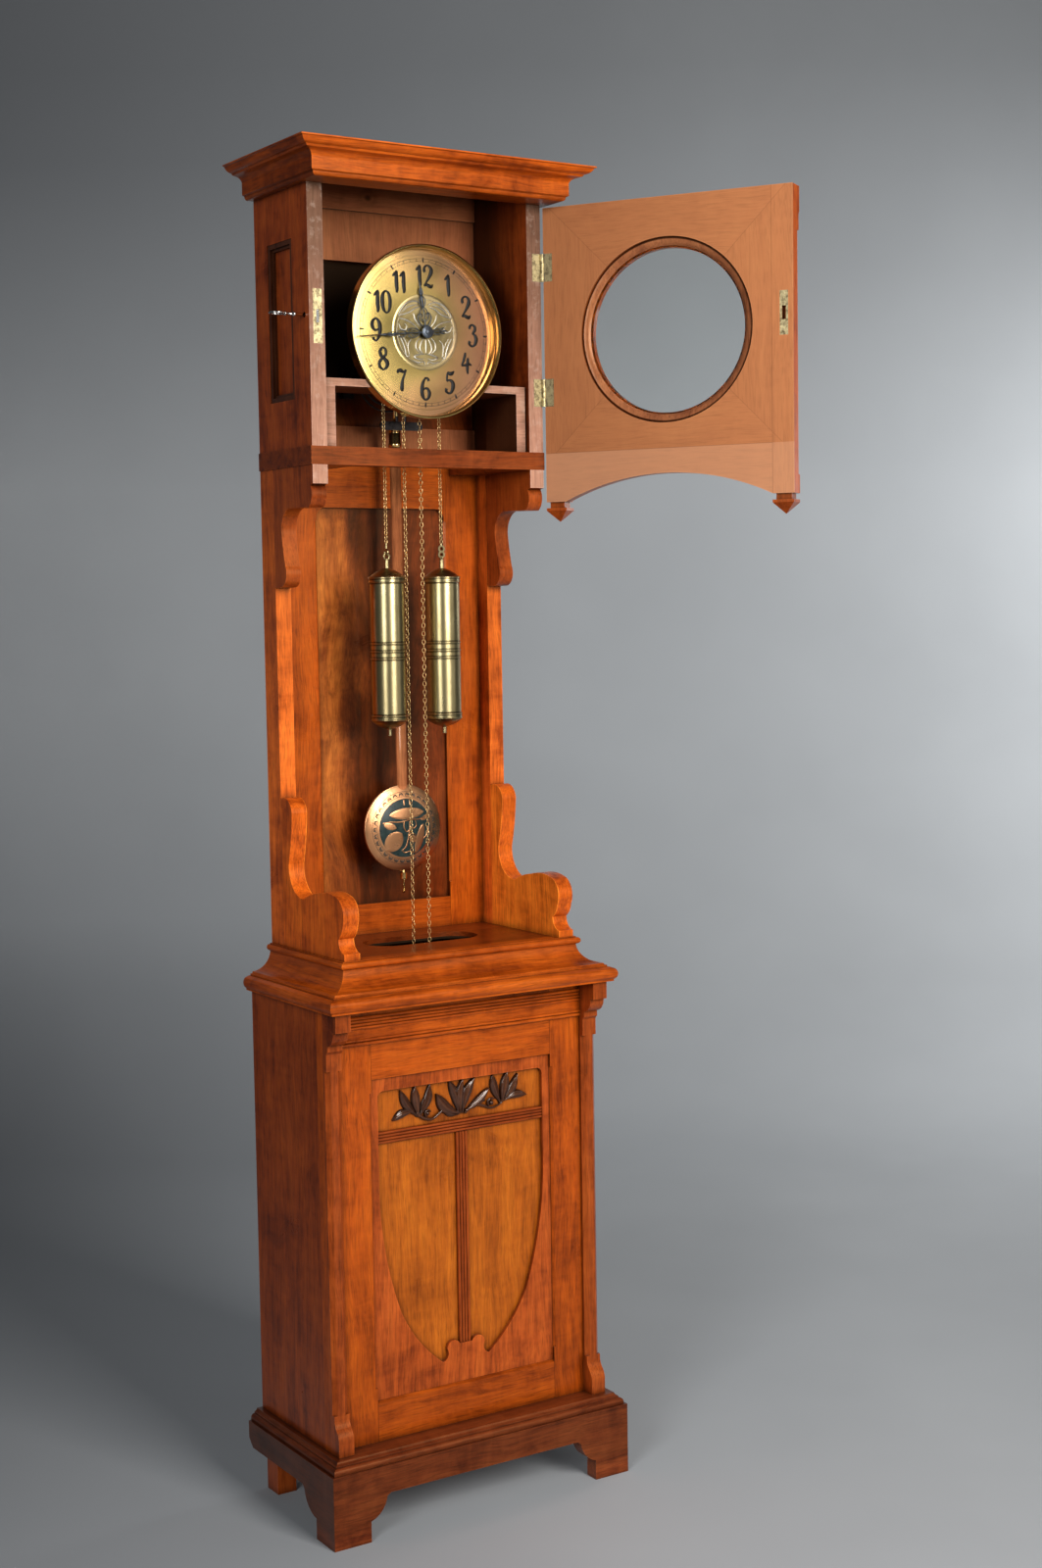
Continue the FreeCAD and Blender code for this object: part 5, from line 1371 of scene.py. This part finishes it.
def key():
    """A round bow, a turned shank and a bit at its end."""
    low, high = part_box("key")
    _, y, z = JOINTS["key_turn"]["pos_m"]
    bow_x = low.x + 0.013
    bow_radius = 0.0112
    made = Build()
    made.tube([(bow_x + bow_radius * c, y + 0.0108 * s, z) for s, c in circle(40)], 0.00175, 12, closed=True)
    shank = [(0.1, 0.0), (2.4, 0.0), (2.4, 1.5), (3.6, 2.5), (3.6, 3.8), (2.5, 4.8), (2.5, 16.0), (3.8, 17.0),
             (4.1, 18.5), (3.8, 20.0), (2.6, 21.0), (2.6, 48.0), (2.3, 48.5), (0.1, 48.5)]
    made.lathe([(r / 1000, along / 1000) for r, along in shank], (bow_x + bow_radius, y, z), (1, 0, 0), 36)
    verts = []
    for x in (high.x - 0.0035, high.x):
        for dy, dz in ((0.0, -0.001), (0.0075, -0.001), (0.0075, 0.001), (0.0, 0.001)):
            verts.append(Vector((x, y + dy, z + dz)))
    made.add(verts, [(0, 1, 2, 3), (4, 5, 6, 7)] + skin(1, 4))
    made.piece("key_turned", LOOKS["nickel"], "lock_key", "nickel", "key")


for make in (
    numerals, minute_track, medallion_ground, medallion_relief, minute_hand, hour_hand, chain, bob_lens,
    bob_ground, bob_ornament, wood_rod, rod_metalwork, suspension_spring, carving, key,
):
    make()


# ---------------------------------------------------------------- studio
CAMERA_AZ = math.radians(32.648)
CAMERA_PITCH = math.radians(-4.530)
CAMERA_ROLL = -0.016


def studio_paper():
    """Grey paper with painted light and shade: darker on the left, high up and low down on the left, and
    paler on the floor.
    """
    g = Graph("studio_paper")
    n = g.noise(g.place, 1.4, 3.0)
    across = g.xyz(g.mapping(g.place, (1, 1, 1), (0, 0, 0), (0, 0, CAMERA_AZ)))[0]
    colour = g.mix(g.range(n, 0.3, 0.7, 0.0, 1.0), (0.355, 0.366, 0.378), (0.385, 0.397, 0.409))
    middle = g.times(g.range(g.z, 0.1, 1.2, 0.0, 1.0), g.range(g.z, 1.9, 3.0, 1.0, 0.0))
    left = g.times(g.range(across, -1.6, 0.9, 1.0, 0.0), g.inverse(middle))
    # Painted shade on the left, high up and low down.
    colour = g.mix(left, colour, (0.215, 0.224, 0.236))
    # Painted shade high up.
    colour = g.shaded(colour, g.range(g.z, 1.9, 3.3, 1.0, 0.66))
    low = g.range(g.z, 0.02, 0.5, 1.0, 0.0)
    # Painted shade on the floor to the left.
    floor_left_shade = g.times(low, g.range(across, -1.3, 0.3, 0.60, 0.0))
    colour = g.mix(floor_left_shade, colour, (0.09, 0.094, 0.10))
    # Painted light on the floor.
    colour = g.shaded(colour, g.range(g.z, 0.0, 0.3, 1.14, 1.0))
    return g.finish(colour, Roughness=0.85, Specular_IOR_Level=0.15)


def backdrop():
    """A pale floor that curves up into the wall behind."""
    half_width = 8.0
    bend_at, bend_radius, bend_steps = 2.2, 1.6, 12
    path = [(-6.0, 0.0)]
    for k in range(bend_steps + 1):
        a = math.pi / 2 * k / bend_steps
        path.append((bend_at + bend_radius * math.sin(a), bend_radius * (1 - math.cos(a))))
    path.append((bend_at + bend_radius, 6.5))
    turn = Matrix.Rotation(-CAMERA_AZ, 3, "Z")
    verts = [turn @ Vector((side * half_width, d, z)) for d, z in path for side in (-1, 1)]
    mesh = new_mesh("studio_floor", verts, skin(len(path) - 1, 2, wrap=False), studio_paper())
    mesh.shade_smooth()
    put_in_scene("studio_floor", mesh)


def camera():
    data = bpy.data.cameras.new("camera")
    data.sensor_width = 36.0
    data.lens = 49.57
    data.clip_end = 60.0
    obj = put_in_scene("camera", data)
    level = math.cos(CAMERA_PITCH)
    ahead = Vector((math.sin(CAMERA_AZ) * level, math.cos(CAMERA_AZ) * level, math.sin(CAMERA_PITCH)))
    right = ahead.cross(Vector((0, 0, 1))).normalized()
    up = right.cross(ahead)
    c, s = math.cos(CAMERA_ROLL), math.sin(CAMERA_ROLL)
    turn = Matrix((right * c + up * s, up * c - right * s, -ahead)).transposed()
    obj.matrix_world = Matrix.Translation((-1.7983, -3.2484 + BACK_Y, 1.4710)) @ turn.to_4x4()
    bpy.context.scene.camera = obj


def lamp(name, place, target, size, power, colour):
    data = bpy.data.lights.new(name, "AREA")
    data.shape = "RECTANGLE"
    data.size, data.size_y = size
    data.energy = power
    data.color = colour
    obj = put_in_scene(name, data)
    obj.location = place
    obj.rotation_mode = "QUATERNION"
    obj.rotation_quaternion = (Vector(target) - Vector(place)).to_track_quat("-Z", "Y")


def around(azimuth, elevation, distance):
    """A place at an angle round from the clock's front (towards +X) and up from its middle."""
    aim = 1.3
    a, e = math.radians(azimuth), math.radians(elevation)
    level = distance * math.cos(e)
    return (level * math.sin(a), -level * math.cos(a), aim + distance * math.sin(e))


def lights():
    world = bpy.data.worlds.new("studio_world")
    world.use_nodes = True
    background = world.node_tree.nodes["Background"]
    background.inputs["Color"].default_value = (0.85, 0.93, 1.0, 1)
    background.inputs["Strength"].default_value = 0.10
    bpy.context.scene.world = world
    lamp("key_front", around(5.5, 17, 4.3), (0, 0, 1.25), (1.5, 2.3), 205, (1.0, 0.985, 0.96))
    lamp("fill_left", around(-53, 14, 4.4), (0, 0, 1.25), (1.3, 2.2), 95, (0.98, 0.99, 1.0))
    lamp("bounce_right", around(38, 6, 4.2), (0, 0, 1.4), (2.0, 2.6), 4.6, (1.0, 0.96, 0.90))
    lamp("strip_right", around(45, 9, 4.2), (0, 0, 1.6), (0.30, 1.2), 3.0, (1.0, 0.98, 0.95))
    lamp("backdrop_glow", (3.6, 0.6, 2.0), (2.6, 3.6, 0.3), (1.2, 1.2), 42, (0.97, 0.99, 1.0))


camera()
backdrop()
lights()
scene = bpy.context.scene
scene.view_settings.view_transform = "Standard"
scene.view_settings.exposure = 0.0

bpy.context.view_layer.update()
